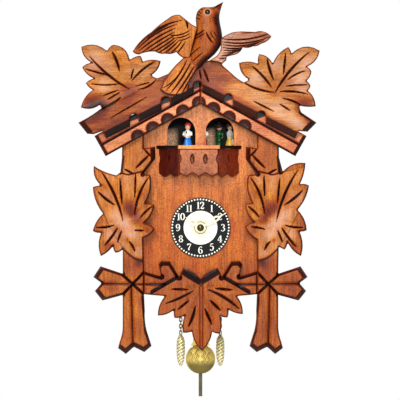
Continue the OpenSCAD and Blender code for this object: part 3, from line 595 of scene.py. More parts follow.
def edge(rim, width, deep):
    """A chamfer deep * (1 - rim / width) along the outline, and the stain that lies on it."""
    return deep * np.clip(1 - rim / width, 0, 1), 0.78 * (1 - soft(rim, width * 0.25, width))


LIT_SIDE_PALENESS = 0.6    # how pale the painted highlight is on the lit side below a cut


def cut_all(p, depth, stain, cuts, deep):
    """Adds gouge cuts: darker with stain and painted shade in the cut, a painted highlight below it.
    """
    for cut in cuts:
        g = gouge(p, *cut)
        lit_side = np.maximum(gouge(p + [0.5, 0.72], *cut[:4], cut[4] * 0.95, cut[5]) - 1.5 * g, 0)
        depth = depth + deep * g
        stain = np.where(stain < 0.2, stain - LIT_SIDE_PALENESS * soft(lit_side, 0.0, 0.6), stain)
        stain = np.maximum(stain, 0.86 * soft(g, 0.05, 0.6))
    return depth, stain


# %% Bevels along straight lines
def lines_of(*quads, side=1):
    """Straight lines (x0, z0, x1, z1) as an array of ends; side -1 mirrors them."""
    return np.array(quads, float).reshape(-1, 2, 2) * [side, 1]


def stain_along(p, stain, lines, dark, fade, where=1.0):
    """Darkens by the given amount up to fade[0] mm from the nearest line, and not at all at fade[1].
    """
    d, _ = nearest(p, lines)
    return np.maximum(stain, dark * (1 - soft(d, *fade)) * where)


def bevel(p, face, lines, deep, wide, dark, fade, where=1.0):
    """A darkened slope deep * (1 - d / wide), d being the distance to the nearest line."""
    depth, stain = face
    d, _ = nearest(p, lines)
    depth = depth + deep * np.clip(1 - d / wide, 0, 1) * where
    return depth, stain_along(p, stain, lines, dark, fade, where)


# %% [markdown]
# ### Crown: a log on each side with a leaf, over the ridge
# Each leaf is dished around its veins: the face sinks towards a vein and rises between them. One
# sum of soft valleys does that for any leaf, where a modelled mesh would need each vein drawn.
# The lower edge has a broad dark bevel with a thin painted shade above it, and soft patches vary
# from leaf to leaf: darker ones of stain and painted shade, paler ones of painted highlight.

# %% Leaf relief
def dished(p, hub, tips, reach, sink=0.9):
    """Depth sink * exp(-(d / reach)^2), d being the distance to the nearest line hub to tip."""
    lines = np.array([[hub, tip] for tip in tips], float)
    d, _ = nearest(p, lines)
    return sink * np.exp(-(d / reach) ** 2)


def cloud(p, x, z, radius, amount):
    """A soft round patch: amount * exp(-(d / radius)^2)."""
    return amount * np.exp(-((p[:, 0] - x) ** 2 + (p[:, 1] - z) ** 2) / radius ** 2)


def tinted(p, stain, spots):
    """Adds soft patches (x, z, radius, amount) where the face is still light; below 0 painted
    highlight.
    """
    total = sum(cloud(p, *spot) for spot in spots)
    return np.where(stain < 0.5, stain + total, stain)


# %% Crown
# gouge cuts: where they start and end, how wide they are and how far they bow
CROWN_CUTS = [(-44.2, 86.2, -69.1, 106.9, 2.0, 0.05), (-55.1, 94.5, -71.7, 98.9, 1.5, 0.02),
              (-50.5, 89.3, -67.6, 89.3, 1.3, 0.03), (-50.2, 97.3, -54.9, 109.5, 2.2, -0.04),
              (-43.2, 91.9, -41.4, 99.1, 1.3, 0.02), (-42.7, 91.3, -28.2, 103.3, 1.9, 0.05),
              (-38.5, 86.0, -27.7, 91.9, 1.4, -0.10), (-40, 88, -31, 90.5, 1.0, 0),
              (-51, 85.6, -60.5, 82, 1.2, 0), (-50, 84.2, -58, 79.5, 1.2, 0),
              (-56.2, 68.0, -33.6, 81.0, 1.1, 0.0), (-62, 73.6, -49.4, 81.2, 2.4, -0.06),
              (46.2, 83.7, 67.7, 109.3, 2.2, 0.05), (51.5, 95.4, 52.9, 108.2, 1.7, 0),
              (45.3, 92, 41.4, 104.9, 2.1, 0.03), (43.9, 87.6, 31.9, 100.4, 2.0, -0.04),
              (45.3, 84.2, 26.4, 90.6, 1.8, 0.06), (54.3, 92, 65.4, 97.6, 1.6, 0.06),
              (52.6, 87.8, 67.1, 88.7, 1.3, 0.03), (48.7, 84.5, 66.5, 83.0, 1.6, 0.05),
              (33.1, 78.6, 45.7, 72.2, 1.4, 0), (49.2, 77, 56, 72.6, 1.4, 0),
              (62.7, 76, 51, 80.5, 1.6, -0.05), (1.8, 99, 5.2, 90.4, 1.3, 0),
              (-0.6, 98, 0.4, 92.4, 1.1, 0)]
CROWN_TIPS_L = [(-72, 109), (-71.5, 98.8), (-69, 89.3), (-72, 77), (-54.5, 111), (-40, 103.5),
                (-27, 102.5), (-30, 93)]
CROWN_TIPS_R = [(71, 108.5), (53.6, 110), (38, 106), (27, 101.5), (67, 97), (66.5, 88), (69.5, 78)]
# soft patches: x, z, radius and amount; above 0 stain and painted shade, below 0 painted highlight
CROWN_SPOTS = [(-68, 77, 5, 0.5), (-61, 78, 5, 0.25), (-44, 85, 5, 0.28), (-66, 104, 6, -0.42),
               (-60, 88, 4, -0.38), (-57, 98, 4, -0.16), (-42, 96, 5, -0.12), (-35, 98, 4, -0.1),
               (-47, 79, 6, 0.18), (-64, 68, 6, 0.16), (-30, 84, 7, 0.12), (-52, 66, 6, 0.14),
               (-18, 91, 5, 0.24), (12, 92, 6, 0.16), (22, 86, 5, -0.14), (36, 80, 7, -0.2),
               (48, 73, 7, -0.4), (60, 66, 7, -0.45), (66, 103, 5, -0.4), (60, 106, 4, -0.16),
               (47, 101, 5, -0.3), (45, 83, 4, 0.2), (62, 78, 5, 0.25), (64, 86, 5, -0.3),
               (61, 94, 5, -0.4), (33, 92, 5, -0.4), (36, 95, 4, -0.14), (30, 99, 4, 0.1),
               (66, 77, 4, 0.2), (2, 96, 5, 0.2), (-8, 92, 5, 0.3)]
CROWN_FOOT = lines_of((-58.8, 55.5, 0, 85.3), (0, 85.3, 58.8, 55.5))
LOG_TOPS = lines_of((-75.9, 65.4, -61.6, 74.3), (72.2, 65.4, 62.7, 71.7))
LOG_ENDS = lines_of((-75.9, 65.4, -70.4, 58.5), (72.2, 65.4, 66.6, 59.8))
LEAF_LINE_L = (85, 0.55, -38)   # height, slope and middle of the line that the left leaf ends on
LEAF_LINE_R = (83, -0.50, 45)


def above(p, height, slope, middle):
    """1 above a sloping line, 0 below it, over 2 mm."""
    return soft(p[:, 1] - (height + slope * (p[:, 0] - middle)), -0.5, 1.5)


def crown_shape(p, rim):
    """Two dished leaves above a log that lies 0.9 mm deeper, with bevels along its edges."""
    depth, stain = edge(rim, 0.8, 0.7)
    left = above(p, *LEAF_LINE_L) * (p[:, 0] < -26)
    right = above(p, *LEAF_LINE_R) * (p[:, 0] > 26)
    log = 1 - np.maximum(left, right)
    depth += left * dished(p, (-44.3, 85.9), CROWN_TIPS_L, 2.6)
    depth += right * dished(p, (45.3, 82.7), CROWN_TIPS_R, 2.6)
    depth += 0.9 * log
    face = cut_all(p, depth, stain, CROWN_CUTS, 1.3)
    # the foot's bevel is 4.4 mm wide, dark with stain and darkest at the left; above it a thin
    # painted shade runs on
    dark = 0.66 + 0.24 * soft(-p[:, 0], -25, 15)
    depth, stain = bevel(p, face, CROWN_FOOT, 2.4, 4.4, dark, (3.9, 4.6))
    stain = stain_along(p, stain, CROWN_FOOT, 0.3, (4.4, 8.5))
    depth, stain = bevel(p, (depth, stain), LOG_TOPS, 1.6, 2.0, 0.9, (1.0, 2.2))
    stain = stain_along(p, stain, LOG_TOPS, 0.35, (2.0, 6.5))
    depth, stain = bevel(p, (depth, stain), LOG_ENDS, 1.8, 3.4, 0.72, (3.0, 3.8))
    stain = np.where(stain < 0.2, stain + 0.09 * log * (1 - soft(p[:, 0], 12, 34)), stain)
    return depth, tinted(p, stain, CROWN_SPOTS)


carve("crown_carving", "crown", "case", "carved_flat", crown_shape)

# %% [markdown]
# ### Frame: two stiles and an apron
# Each stile is one board: a bracket under the roof, a leaf over the post, crossed twigs held by
# a V-cut cross, and a forked foot. The apron carries the twigs on and ends in the bottom leaf.
# The two stiles were cut to one pattern, so one function makes both and mirrors its lines, and
# only the long gouge cuts, which a hand never repeats, are listed for each side.

# %% Stile shapes
LEAF_L = [(-48.3, 4.1, -61.8, 35, 2.2, -0.05), (-53.4, 14.2, -63.8, 22.5, 2.2, 0.04),
          (-53.8, 1.6, -64.9, 0.2, 1.8, 0.05), (-51.7, 0, -59.8, -11, 2.2, 0.03),
          (-49.2, -1.7, -51.9, -9.2, 1.7, 0), (-44.6, -8.4, -40.8, -14.9, 1.9, 0.05),
          (-41.4, -1.7, -35.0, -2.0, 1.6, 0.03), (-37.8, 5.8, -29.7, 13.6, 1.7, 0.05),
          (-41, 8.3, -32.2, 31.6, 2.0, 0.07), (-41.0, 19, -40.4, 34, 1.6, 0),
          (-49.0, 15, -50.2, 30.5, 1.8, 0)]
LEAF_R = [(47.4, 4.1, 60.8, 36, 2.2, 0.05), (52.4, 14.2, 63.8, 23.5, 2.2, -0.04),
          (52.8, 1.6, 63.9, 0.2, 1.8, -0.05), (50.7, 0, 59.8, -12, 2.2, -0.03),
          (48.2, -1.7, 51.4, -9.6, 1.7, 0), (43.6, -8.4, 39.8, -13.9, 1.9, -0.05),
          (40.4, -1.0, 31.5, 0.6, 1.6, -0.03), (36.8, 6.3, 29.5, 13.4, 1.7, -0.05),
          (40, 8.3, 31.0, 31.6, 2.0, -0.07), (40.0, 19, 39.6, 33, 1.6, 0),
          (48.0, 15, 49.4, 30.5, 1.8, 0)]
# soft patches on the right stile, mirrored for the left: x, z, radius and amount; above 0 stain and
# painted shade, below 0 painted highlight
LEAF_SPOTS = [(44.6, 12.5, 4.0, 0.42), (42.0, 8.5, 3.2, 0.3), (38.5, 5.0, 3.0, 0.22),
              (47.5, 3, 4.2, -0.5), (52.5, 8.0, 4.5, -0.36), (56, -4.5, 4.5, -0.42),
              (43.5, -4.5, 4.2, -0.48), (49.5, -12, 4.0, -0.2), (57, -11, 3.0, 0.2),
              (38.5, -15, 4, -0.24), (63, -3.5, 2.4, 0.3), (45.5, -7.5, 2.0, 0.4),
              (52, -1, 2.2, 0.2), (59, 27, 4.0, 0.14), (45, 25, 5.0, -0.1), (35.5, 20, 4.0, 0.1),
              (33, -1, 3.0, 0.2), (58, 30, 4, -0.2), (60, 20, 3.5, -0.24), (46, 33, 4, -0.2),
              (36, 30, 4, -0.15), (38.6, -21.8, 2.6, 0.4), (42, -24, 6.0, 0.12),
              (41, -62, 6.0, 0.12), (36, -46, 3.0, 0.15), (56, -36, 5.0, 0.12)]
BRACKET_CUTS = [(40.5, 37.0, 32.0, 45.5, 2.2, 0.0), (35.4, 49.2, 30.5, 44.0, 1.6, 0.0),
                (47.5, 36.6, 42, 33.6, 1.8, 0.0)]
STILE_CROSS = [(50.2, -28.0, 34.6, -42.2), (34.6, -27.0, 49.4, -42.6)]
STILE_MIDDLES = [(44.6, -35.2, 61, -35.0), (43.2, -37, 42.2, -74), (42, -35.2, 35.3, -35.4)]
STILE_ENDS = [(62.5, -24.1, 66.9, -30.8), (66, -39.5, 61.3, -45.5), (51.5, -75.2, 46.6, -78.9),
              (46.6, -78.9, 41.6, -74.4), (41.6, -74.4, 35.1, -77.7), (35.1, -77.7, 30.6, -73.9),
              (28.2, 43.2, 28.4, 50.6)]
STILE_SIDES = [(62.5, -24.1, 48.5, -28.8), (61.3, -45.5, 48.5, -42), (66.9, -30.8, 61.7, -34.6),
               (61.7, -34.6, 66, -39.5), (35.3, -43, 34.8, -52), (34.8, -52, 33.6, -64.5),
               (33.6, -64.5, 30.6, -73.9), (28.2, 43.2, 36, 33.2), (49, 44, 50, 34.6)]
# lines, how deep and how wide they are cut, how dark, and where the stain fades
STILE_BEVELS = [
    (STILE_CROSS, 1.6, 1.1, 0.95, (0.35, 1.15)),
    (STILE_MIDDLES, 1.2, 1.7, 0.62, (0.2, 0.9)),
    (STILE_ENDS, 2.4, 3.0, 0.68, (2.6, 3.2)),
    (STILE_SIDES, 1.5, 1.7, 0.85, (1.0, 1.8)),
]


def stile_shape(side, hub, cuts, post_stain):
    """The face of a stile: a dished leaf that stands 1.7 mm above the post; side -1 mirrors it."""
    tips = [(cut[2], cut[3]) for cut in cuts]
    spots = [(side * x, z, radius, amount) for x, z, radius, amount in LEAF_SPOTS]
    bracket = [(side * x0, z0, side * x1, z1, *rest) for x0, z0, x1, z1, *rest in BRACKET_CUTS]

    def shape(p, rim):
        x = p[:, 0] * side
        z = p[:, 1]
        depth, stain = edge(rim, 1.1, 1.0)
        # the leaf lies between a curve below and a rising line above, both lined with stain and
        # painted shade where the leaf steps down to the post
        low = -20.6 + 0.045 * np.maximum(x - 35, 0) ** 2
        high = 32.6 + 0.25 * np.abs(x - 45)
        leaf = soft(z - low, 0, 0.9) * (1 - soft(z - high, 0, 0.9))
        depth += 1.7 * (1 - leaf)
        under = np.clip(1 - np.abs(z - low + 0.4) / 0.9, 0, 1) * (x < 49)
        over = np.clip(1 - np.abs(z - high - 0.4) / 0.9, 0, 1) * (x < 50)
        stain = np.maximum(stain, 0.8 * np.maximum(under, over))
        depth += leaf * dished(p, hub, tips, 2.2, 0.9)
        stain = np.maximum(stain, post_stain * (1 - leaf))
        face = cut_all(p, depth, stain, cuts, 1.3)
        for lines, *cut in STILE_BEVELS:
            face = bevel(p, face, lines_of(*lines, side=side), *cut)
        depth, stain = cut_all(p, *face, bracket, 1.2)
        return depth, tinted(p, stain, spots)

    return shape


# the posts are darkened a little, the right one more: painted shade on the side away from the key
# lamp
carve("stile_left_carving", "stile_left", "case", "carved",
      stile_shape(-1, (-48.4, 4.2), LEAF_L, 0.05))
carve("stile_right_carving", "stile_right", "case", "carved",
      stile_shape(1, (47.4, 4.2), LEAF_R, 0.1))

# %% Apron
APRON_CUTS = [(-18.1, -38.2, -7.6, -38.6, 1.9, 0), (-21.6, -47.2, -4.3, -39.2, 1.9, -0.03),
              (-14.1, -51, -7.0, -45.2, 1.9, 0), (-7.6, -61.8, -3.2, -48.8, 2.4, -0.04),
              (9.2, -37.8, 20.1, -38.8, 2.0, 0), (4.6, -38.5, 24, -50.5, 2.4, 0.05),
              (5.9, -45.1, 12.4, -51.5, 2.2, 0), (2.6, -50.3, 7.0, -60.2, 2.2, 0)]
APRON_DIP = lines_of((-10.9, -25.6, 0, -32.2), (0, -32.2, 10.9, -25.6))
RAIL_TOP = lines_of((-35.3, -27.3, -24.4, -30.6), (24.4, -30.6, 35.3, -27.3),
                    (-19.2, -21.1, -13.2, -31.1), (19.2, -21.1, 13.2, -31.1))
EAR_ENDS = lines_of((-26.1, -22.6, -24.6, -20.9), (-24.6, -20.9, -19.2, -21.1),
                    (26.1, -22.6, 24.6, -20.9), (24.6, -20.9, 19.2, -21.1))
RAIL_MIDDLE = lines_of((-35.3, -35.3, -23.0, -35.6), (23.0, -35.6, 35.3, -35.3))
RIB = lines_of((0.4, -37, 0.6, -74))


def apron_shape(p, rim):
    """A dished leaf that lies on a rail 1.9 mm deeper, with a round rib down its middle."""
    depth, stain = edge(rim, 0.9, 0.8)
    x = np.abs(p[:, 0])
    z = p[:, 1]
    # the leaf's upper edge runs out and down from the ears
    line = -31.6 - 0.58 * (x - 14.0)
    on_rail = soft(z - line, 0, 0.6) * (x > 12.6)
    depth += 1.9 * on_rail
    step = np.clip(1 - np.abs(z - line - 1.0) / 1.7, 0, 1) * (x > 12.6) * (x < 31)
    stain = np.maximum(stain, 0.9 * soft(step, 0.05, 0.5))
    depth += 0.6 * step
    tips = [(cut[2], cut[3]) for cut in APRON_CUTS]
    depth += (1 - on_rail) * dished(p, (0, -37.4), tips, 2.0, 0.7)
    depth, stain = cut_all(p, depth, stain, APRON_CUTS, 1.3)
    rib, _ = nearest(p, RIB)
    depth += 0.9 * np.clip(1 - rib / 2.2, 0, 1)
    stain = np.maximum(stain, 0.42 * np.clip(1 - np.abs(rib - 0.9) / 0.6, 0, 1))
    face = bevel(p, (depth, stain), APRON_DIP, 2.6, 3.6, 0.85, (3.0, 3.8))
    face = bevel(p, face, RAIL_TOP, 2.2, 2.0, 0.92, (1.5, 2.1))
    face = bevel(p, face, EAR_ENDS, 2.6, 2.8, 0.75, (2.5, 3.0))
    return bevel(p, face, RAIL_MIDDLE, 1.2, 1.6, 0.65, (0.2, 0.9), on_rail)


carve("apron_carving", "apron", "case", "apron", apron_shape)

# %% [markdown]
# ### Barge boards
# The two sloping boards under the crown. Round scoops stand in a row on the lower edge, a groove
# runs along the slope with the crown's painted shadow just above it, and painted shadow stands
# under the crown's notches. All of it is measured across the slope, so one height h above the
# lower edge serves both boards.

# %% Barge boards
BARGE_PEAK = 77.3    # mm above the dial's centre, where the lower edges would meet
PITCH = 0.5543       # how far a board falls for each mm across
LEAN = 0.8746        # cosine of the slope: height times this is the distance across the board
SCOOP_R = 4.3
SCOOPS = [(x, 78.4 - PITCH * abs(x)) for x in (-38.9, -29.6, -20.3, -10.9, 8, 17.7, 27.4)]
SCOOPS.append((-1, 77.6))
SLOTS = [(-41.2, 68.3), (-21.6, 78.8), (-1.6, 88.2), (17.3, 80.4), (37.8, 69.8)]
BARGE_ENDS = lines_of((-59.1, 44.6, -66.1, 57.2), (59.1, 44.6, 66.1, 57.2))


def barge_shape(p, rim):
    """Scoops 1.4 (1 - (d / 4.3)^2) deep above a dark foot, and a groove 7.3 mm up the slope."""
    h = (p[:, 1] - BARGE_PEAK + PITCH * np.abs(p[:, 0])) * LEAN
    depth, stain = edge(rim, 0.8, 0.6)
    low = 1 - soft(h, 0.5, 1.5)
    depth += 0.7 * low
    stain = np.maximum(stain, 0.93 * low)
    for x, z in SCOOPS:
        d = np.hypot(p[:, 0] - x, p[:, 1] - z)
        depth += 1.4 * np.clip(1 - (d / SCOOP_R) ** 2, 0, 1) * (1 - low)
        stain = np.maximum(stain, 0.70 * (1 - soft(d, 3.8, SCOOP_R)))
        stain = np.maximum(stain, 0.88 * np.clip(1 - np.abs(d - 4.0) / 0.6, 0, 1))
    # the groove is dark with stain and painted shade; the band just above it, under the crown's
    # lower edge, is a painted shadow of the crown
    groove = np.clip(1 - np.abs(h - 7.3) / 0.8, 0, 1)
    depth += 0.9 * groove
    stain = np.maximum(stain, 0.97 * soft(groove, 0.05, 0.5))
    stain = np.maximum(stain, 0.5 * np.clip(1 - np.abs(h - 8.2) / 0.8, 0, 1))
    # painted shadow where the board shows through the crown's notches, dark above a leaning line
    for x, z in SLOTS:
        d = np.hypot(p[:, 0] - x, p[:, 1] - z)
        leaning = p[:, 1] - 0.35 * (p[:, 0] - x)
        stain = np.maximum(stain, soft(leaning, z - 1.6, z - 0.6) * (d < 5.5))
    return bevel(p, (depth, stain), BARGE_ENDS, 1.2, 2.4, 0.8, (1.7, 2.5))


for side in ("left", "right"):
    carve(f"barge_{side}_carving", f"barge_{side}", "case", "barge", barge_shape)

# %% [markdown]
# ## The bird
# The real bird is whittled in the round and its wings are glued on. It could be sculpted, but two
# outlines and a list of thicknesses say the same with a few dozen numbers. So the body is one
# surface: a function of a place along the back and an angle round it, where each station is an
# ellipse between a point of the back and a point of the breast. The tail and the wings are boards
# with long feather cuts, thinner towards the tips.

# %% Bird body
BACK = [(-9, 100.5), (-8.6, 103), (-7.4, 106.5), (-5.4, 112), (-3.8, 117), (-2.8, 122),
        (-2.7, 126.3), (-2.9, 130), (-2.0, 134), (1.0, 136.7), (5.0, 136.9), (8.6, 137.4),
        (11.4, 138.9), (14.0, 140.1)]
BREAST = [(-6, 97), (-1.3, 98.4), (3.8, 103.3), (9.6, 108.6), (12.8, 113.8), (13.5, 118.5),
          (12.9, 123), (12.1, 127), (11.7, 130.5), (11.9, 132.6), (12.2, 134.3), (12.8, 136.2),
          (13.4, 138.2), (14.2, 140.2)]
THICK = [2.2, 4.0, 6.0, 7.2, 7.6, 7.4, 7.0, 6.4, 6.0, 5.4, 4.4, 2.6, 1.3, 0.15]
BIRD_CUTS = [(2.4, 122.6, -5.5, 118.0, 1.5, 0.03), (2.6, 120.6, -4.6, 116.8, 1.2, 0.03),
             (3.6, 121.2, 8.4, 114.3, 1.6, -0.08), (6.2, 121.6, 9.4, 116.0, 0.9, -0.06),
             (7.8, 122.0, 10.2, 118.4, 0.8, 0), (-3.4, 135.0, 0.6, 132.6, 0.8, 0.1),
             (-3.4, 132.6, 0.2, 130.9, 0.8, 0.1), (-3.2, 130.2, -0.2, 128.8, 0.8, 0.1),
             (-1.0, 137.0, 1.4, 134.6, 0.8, 0), (7.9, 130.6, 10.3, 128.8, 0.7, 0),
             (7.9, 129.0, 10.4, 127.1, 0.7, 0), (8.6, 127.3, 10.6, 125.6, 0.7, 0),
             (7.2, 135.2, 13.6, 139.6, 0.7, 0), (-9, 103.5, 0, 112, 0.9, 0.05),
             (-6.0, 101.5, 2.5, 109, 0.8, 0.05)]


def spline(points, count):
    """Catmull-Rom curve through the points.

    From b to c it is 0.5 (2b + (c-a)t + (2a-5b+4c-d)t^2 + (3b-a-3c+d)t^3), with a before b and d
    after c.
    """
    q = np.asarray(points, float).reshape(len(points), -1)
    q = np.vstack([2 * q[0] - q[1], q, 2 * q[-1] - q[-2]])
    s = np.linspace(0, len(points) - 1 - 1e-9, count)
    i = s.astype(int)
    t = (s - i)[:, None]
    a, b, c, d = q[i], q[i + 1], q[i + 2], q[i + 3]
    square = (2 * a - 5 * b + 4 * c - d) * t ** 2
    cube = (3 * b - a - 3 * c + d) * t ** 3
    return 0.5 * (2 * b + (c - a) * t + square + cube)


def ring_faces(rows, columns):
    """Quads of a tube of rows rings of columns points, with a polygon at each end."""
    i, j = np.meshgrid(np.arange(rows - 1), np.arange(columns), indexing="ij")
    a = i * columns + j
    b = i * columns + (j + 1) % columns
    quads = np.stack([a, b, b + columns, a + columns], axis=-1).reshape(-1, 4)
    first = list(range(columns))
    last = [(rows - 1) * columns + k for k in first]
    return quads.tolist() + [first[::-1], last]


BIRD_Y = np.array(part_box("crown"))[0, 1] / MM   # the front of the crown, which the bird sits on
EYE_X, EYE_Z = 4.3, 133.6
FINE = 0.3    # mm between grid points where feathers are cut


def bird_surface(rows=150, columns=96):
    """Ellipses between back and breast; y is the depth. Cuts push the front of the surface in."""
    back, breast = spline(BACK, rows), spline(BREAST, rows)
    thick = np.maximum(spline(THICK, rows)[:, 0], 0.12)
    angle = np.linspace(0, 2 * math.pi, columns, endpoint=False)
    middle = (back + breast) / 2
    half = (breast - back) / 2
    c, s = np.cos(angle), np.sin(angle)
    flat = middle[:, None] + half[:, None] * c[None, :, None]
    swell = np.sign(s) * np.abs(s) ** 0.85
    y = BIRD_Y - 0.2 - thick[:, None] * swell[None]
    p = flat.reshape(-1, 2)
    y = y.reshape(-1)
    front = soft(np.tile(s, rows), 0.05, 0.4)
    # where the bird meets the crown it stays in front of it
    y = np.where(p[:, 1] < 99, np.minimum(y, BIRD_Y), y)
    across = np.tile(c, rows)
    cut, stain = cut_all(p, np.zeros(len(p)), np.zeros(len(p)), BIRD_CUTS, 0.9)
    # the breast and the foot are dark, the back a little, and the eye lies in a pale pit
    shadow = 0.1 + 0.66 * soft(across, 0.25, 0.9) * (1 - soft(p[:, 1], 130, 136))
    shadow = np.maximum(shadow, 0.86 * soft(across, 0.0, 0.75) * (1 - soft(p[:, 1], 104, 111)))
    shadow = np.maximum(shadow, 0.45 * soft(-across, 0.75, 1.0))
    beak = 0.42 * soft(p[:, 0] + p[:, 1], 144.5, 147.5)
    pit = np.exp(-((p[:, 0] - EYE_X) ** 2 + (p[:, 1] - EYE_Z) ** 2) / 4.4)
    stain = np.maximum.reduce([stain, shadow, beak])
    ring = soft(pit, 0.2, 0.42)
    stain = stain * (1 - ring) - 0.3 * ring
    y = y + front * (cut + 0.8 * pit)
    points = np.stack([p[:, 0], y, p[:, 1] + DIAL_Z], axis=1)
    return points, ring_faces(rows, columns), stain


TAIL_CUTS = [(-5.4, 103.5, -18.6, 83.4, 1.5, 0.03), (-3.2, 101.5, -15.4, 82.5, 1.5, 0.02),
             (-8.2, 104.5, -21.6, 85.0, 1.3, 0.05), (-0.6, 100, -11.5, 83.2, 1.6, -0.02),
             (-11, 98.6, -23.4, 86.6, 1.0, 0.08), (1.2, 97.5, -8.6, 85.2, 1.1, -0.04)]


def tail_shape(p, rim):
    """A board 1 mm thinner at its foot, dark along its right side and its rim."""
    depth, stain = edge(rim, 0.7, 0.5)
    along = (p[:, 1] - 84) / 22
    depth += 1.0 * np.clip(1 - along, 0, 1)
    depth, stain = cut_all(p, depth, stain, TAIL_CUTS, 0.8)
    right = soft(p[:, 0] + 0.25 * (98 - p[:, 1]), -5.2, -1.6) * (p[:, 1] < 102)
    stain = np.maximum(stain, 0.72 * right)
    return depth, np.maximum(stain, 0.7 * (1 - soft(rim, 0.3, 1.0)))


TAIL = np.array([(-8, 84.6), (-6.2, 92), (-1.8, 98.6), (0, 103), (-5, 106.5), (-10.6, 105.4),
                 (-15.3, 101), (-19.6, 96), (-22.8, 90.8), (-25.1, 85.7), (-21.6, 83.2),
                 (-17.3, 82.1), (-12.4, 82.6)])
tail_rim = np.stack([TAIL, np.roll(TAIL, -1, axis=0)], axis=1)
body_points, body_faces, body_stain = bird_surface()
tail_points, tail_faces, tail_stain = relief(tail_rim, BIRD_Y - 4.6, BIRD_Y - 0.1, tail_shape, FINE)
piece("bird_carving", "bird_body", "case", "carved",
      np.vstack([body_points, tail_points]),
      body_faces + (tail_faces + len(body_points)).tolist(),
      np.concatenate([body_stain, tail_stain]), 50)

# %% Wings
WING_L = [(-11.5, 128.6, -40.2, 110.9, 1.52, -0.10), (-14.5, 126.2, -39.6, 110.2, 1.2, -0.07),
          (-15.5, 123.8, -38.4, 109.4, 1.28, -0.04), (-16.0, 121.4, -36.4, 108.6, 1.2, -0.02),
          (-16.0, 119.4, -33.6, 108.4, 1.2, 0), (-15.6, 117.8, -30.0, 108.4, 1.2, 0.02),
          (-14.6, 116.8, -26.4, 108.2, 1.2, 0.02), (-13.2, 116.2, -22.6, 107.9, 1.12, 0.02),
          (-11.4, 115.8, -18.8, 107.9, 1.12, 0.03), (-9.4, 115.4, -15.0, 107.6, 1.04, 0.03),
          (-6.4, 122.6, -19.4, 119.4, 1.04, 0.10), (-6.2, 120.8, -18.0, 117.8, 0.88, 0.10),
          (-6.0, 118.8, -13.6, 116.2, 0.8, 0.08), (-9.9, 129.6, -8.2, 123.4, 1.6, 0.12),
          (-20, 125.4, -33, 117.3, 0.96, -0.05)]
WING_R = [(13.0, 117.2, 45.5, 121.6, 1.23, -0.07), (13.4, 115.4, 43.5, 118.8, 1.23, -0.08),
          (13.8, 113.6, 39.5, 116.4, 1.23, -0.08), (14.0, 111.8, 35.5, 114.4, 1.15, -0.08),
          (14.2, 110.1, 31.5, 112.7, 1.07, -0.07), (14.4, 108.4, 27.0, 111.0, 0.98, -0.06),
          (13.0, 106.6, 20.5, 108.4, 0.9, -0.04), (11.4, 104.9, 16.4, 105.2, 0.74, 0),
          (24, 120.9, 43, 122.6, 0.74, -0.03)]


def wing_shape(cuts, tip, reach):
    """Feather cuts on a face that falls 1.4 far^1.5 towards the tip, far being 0 beyond reach."""
    def shape(p, rim):
        depth, stain = edge(rim, 0.7, 0.6)
        far = np.clip(1 - np.abs(p[:, 0] - tip) / reach, 0, 1)
        depth += 1.4 * far ** 1.5
        stain = stain - 0.12 * (rim > 0.9)
        depth, stain = cut_all(p, depth, stain, cuts, 1.1)
        return depth, np.where(stain < 0.4, stain + 0.16 * far, stain)
    return shape


carve("wing_left_carving", "bird_wing_left", "case", "carved",
      wing_shape(WING_L, -42, 30), FINE)
# the right wing takes the paler copy of the lime: painted sheen
carve("wing_right_carving", "bird_wing_right", "case", "wing",
      wing_shape(WING_R, 44, 30), FINE)

# %% [markdown]
# ### Balcony front
# One thin board with a scalloped foot, fretted with a saw. Its slats are only scored, so they are
# made in the stain and not in the mesh, and the burnt edge of every cut is darker than the face.

# %% Balcony front
SLATS = (-9.13, -5.07, 3.07, 7.13)
SLAT_TOP = 36
RAIL_FOOT = 48.4


def balcony_shape(p, rim):
    """A flat face: stain 0.85 along the rim, 0.25 on the slats and 0.8 under the hand rail."""
    depth, stain = edge(rim, 0.5, 0.35)
    stain = np.maximum(stain, 0.85 * (1 - soft(rim, 0.15, 0.7)))
    for x in SLATS:
        near = np.clip(1 - np.abs(p[:, 0] - x) / 1.6, 0, 1)
        stain = np.maximum(stain, 0.25 * near * soft(SLAT_TOP - p[:, 1], 0, 3))
    return depth, np.maximum(stain, 0.8 * soft(p[:, 1], RAIL_FOOT, 49))


carve("balcony_front_carving", "balcony_front", "case", "rail", balcony_shape, 0.25)

# %% [markdown]
# ## Dial print
# White numerals with thick and thin strokes, sixty minute marks and a white centre are printed on
# the black disc. A font would bring its own shapes, so each stroke is a ribbon 0.03 mm thick along
# a curve, whose width changes as a broad pen's does.

# %% Strokes of the numerals
INK = 0.03    # mm that the print stands on the dial


def ribbon(points, widths):
    """A flat bar along a curve: a spline through points in mm, as wide as the spline of widths."""
    many = 4 * len(points)
    line = spline(points, many)
    half = np.maximum(spline(widths, many)[:, 0], 0.04) / 2
    d = np.gradient(line, axis=0)
    d /= np.maximum(np.hypot(*d.T), 1e-9)[:, None]
    n = np.stack([-d[:, 1], d[:, 0]], axis=1)
    left, right = line + n * half[:, None], line - n * half[:, None]
    foot, top = np.zeros(many), np.full(many, INK)
    ring = np.stack([np.c_[left, foot], np.c_[right, foot], np.c_[right, top], np.c_[left, top]],
                    axis=1)
    points = ring.reshape(-1, 3)[:, [0, 2, 1]]
    return points, ring_faces(many, 4)


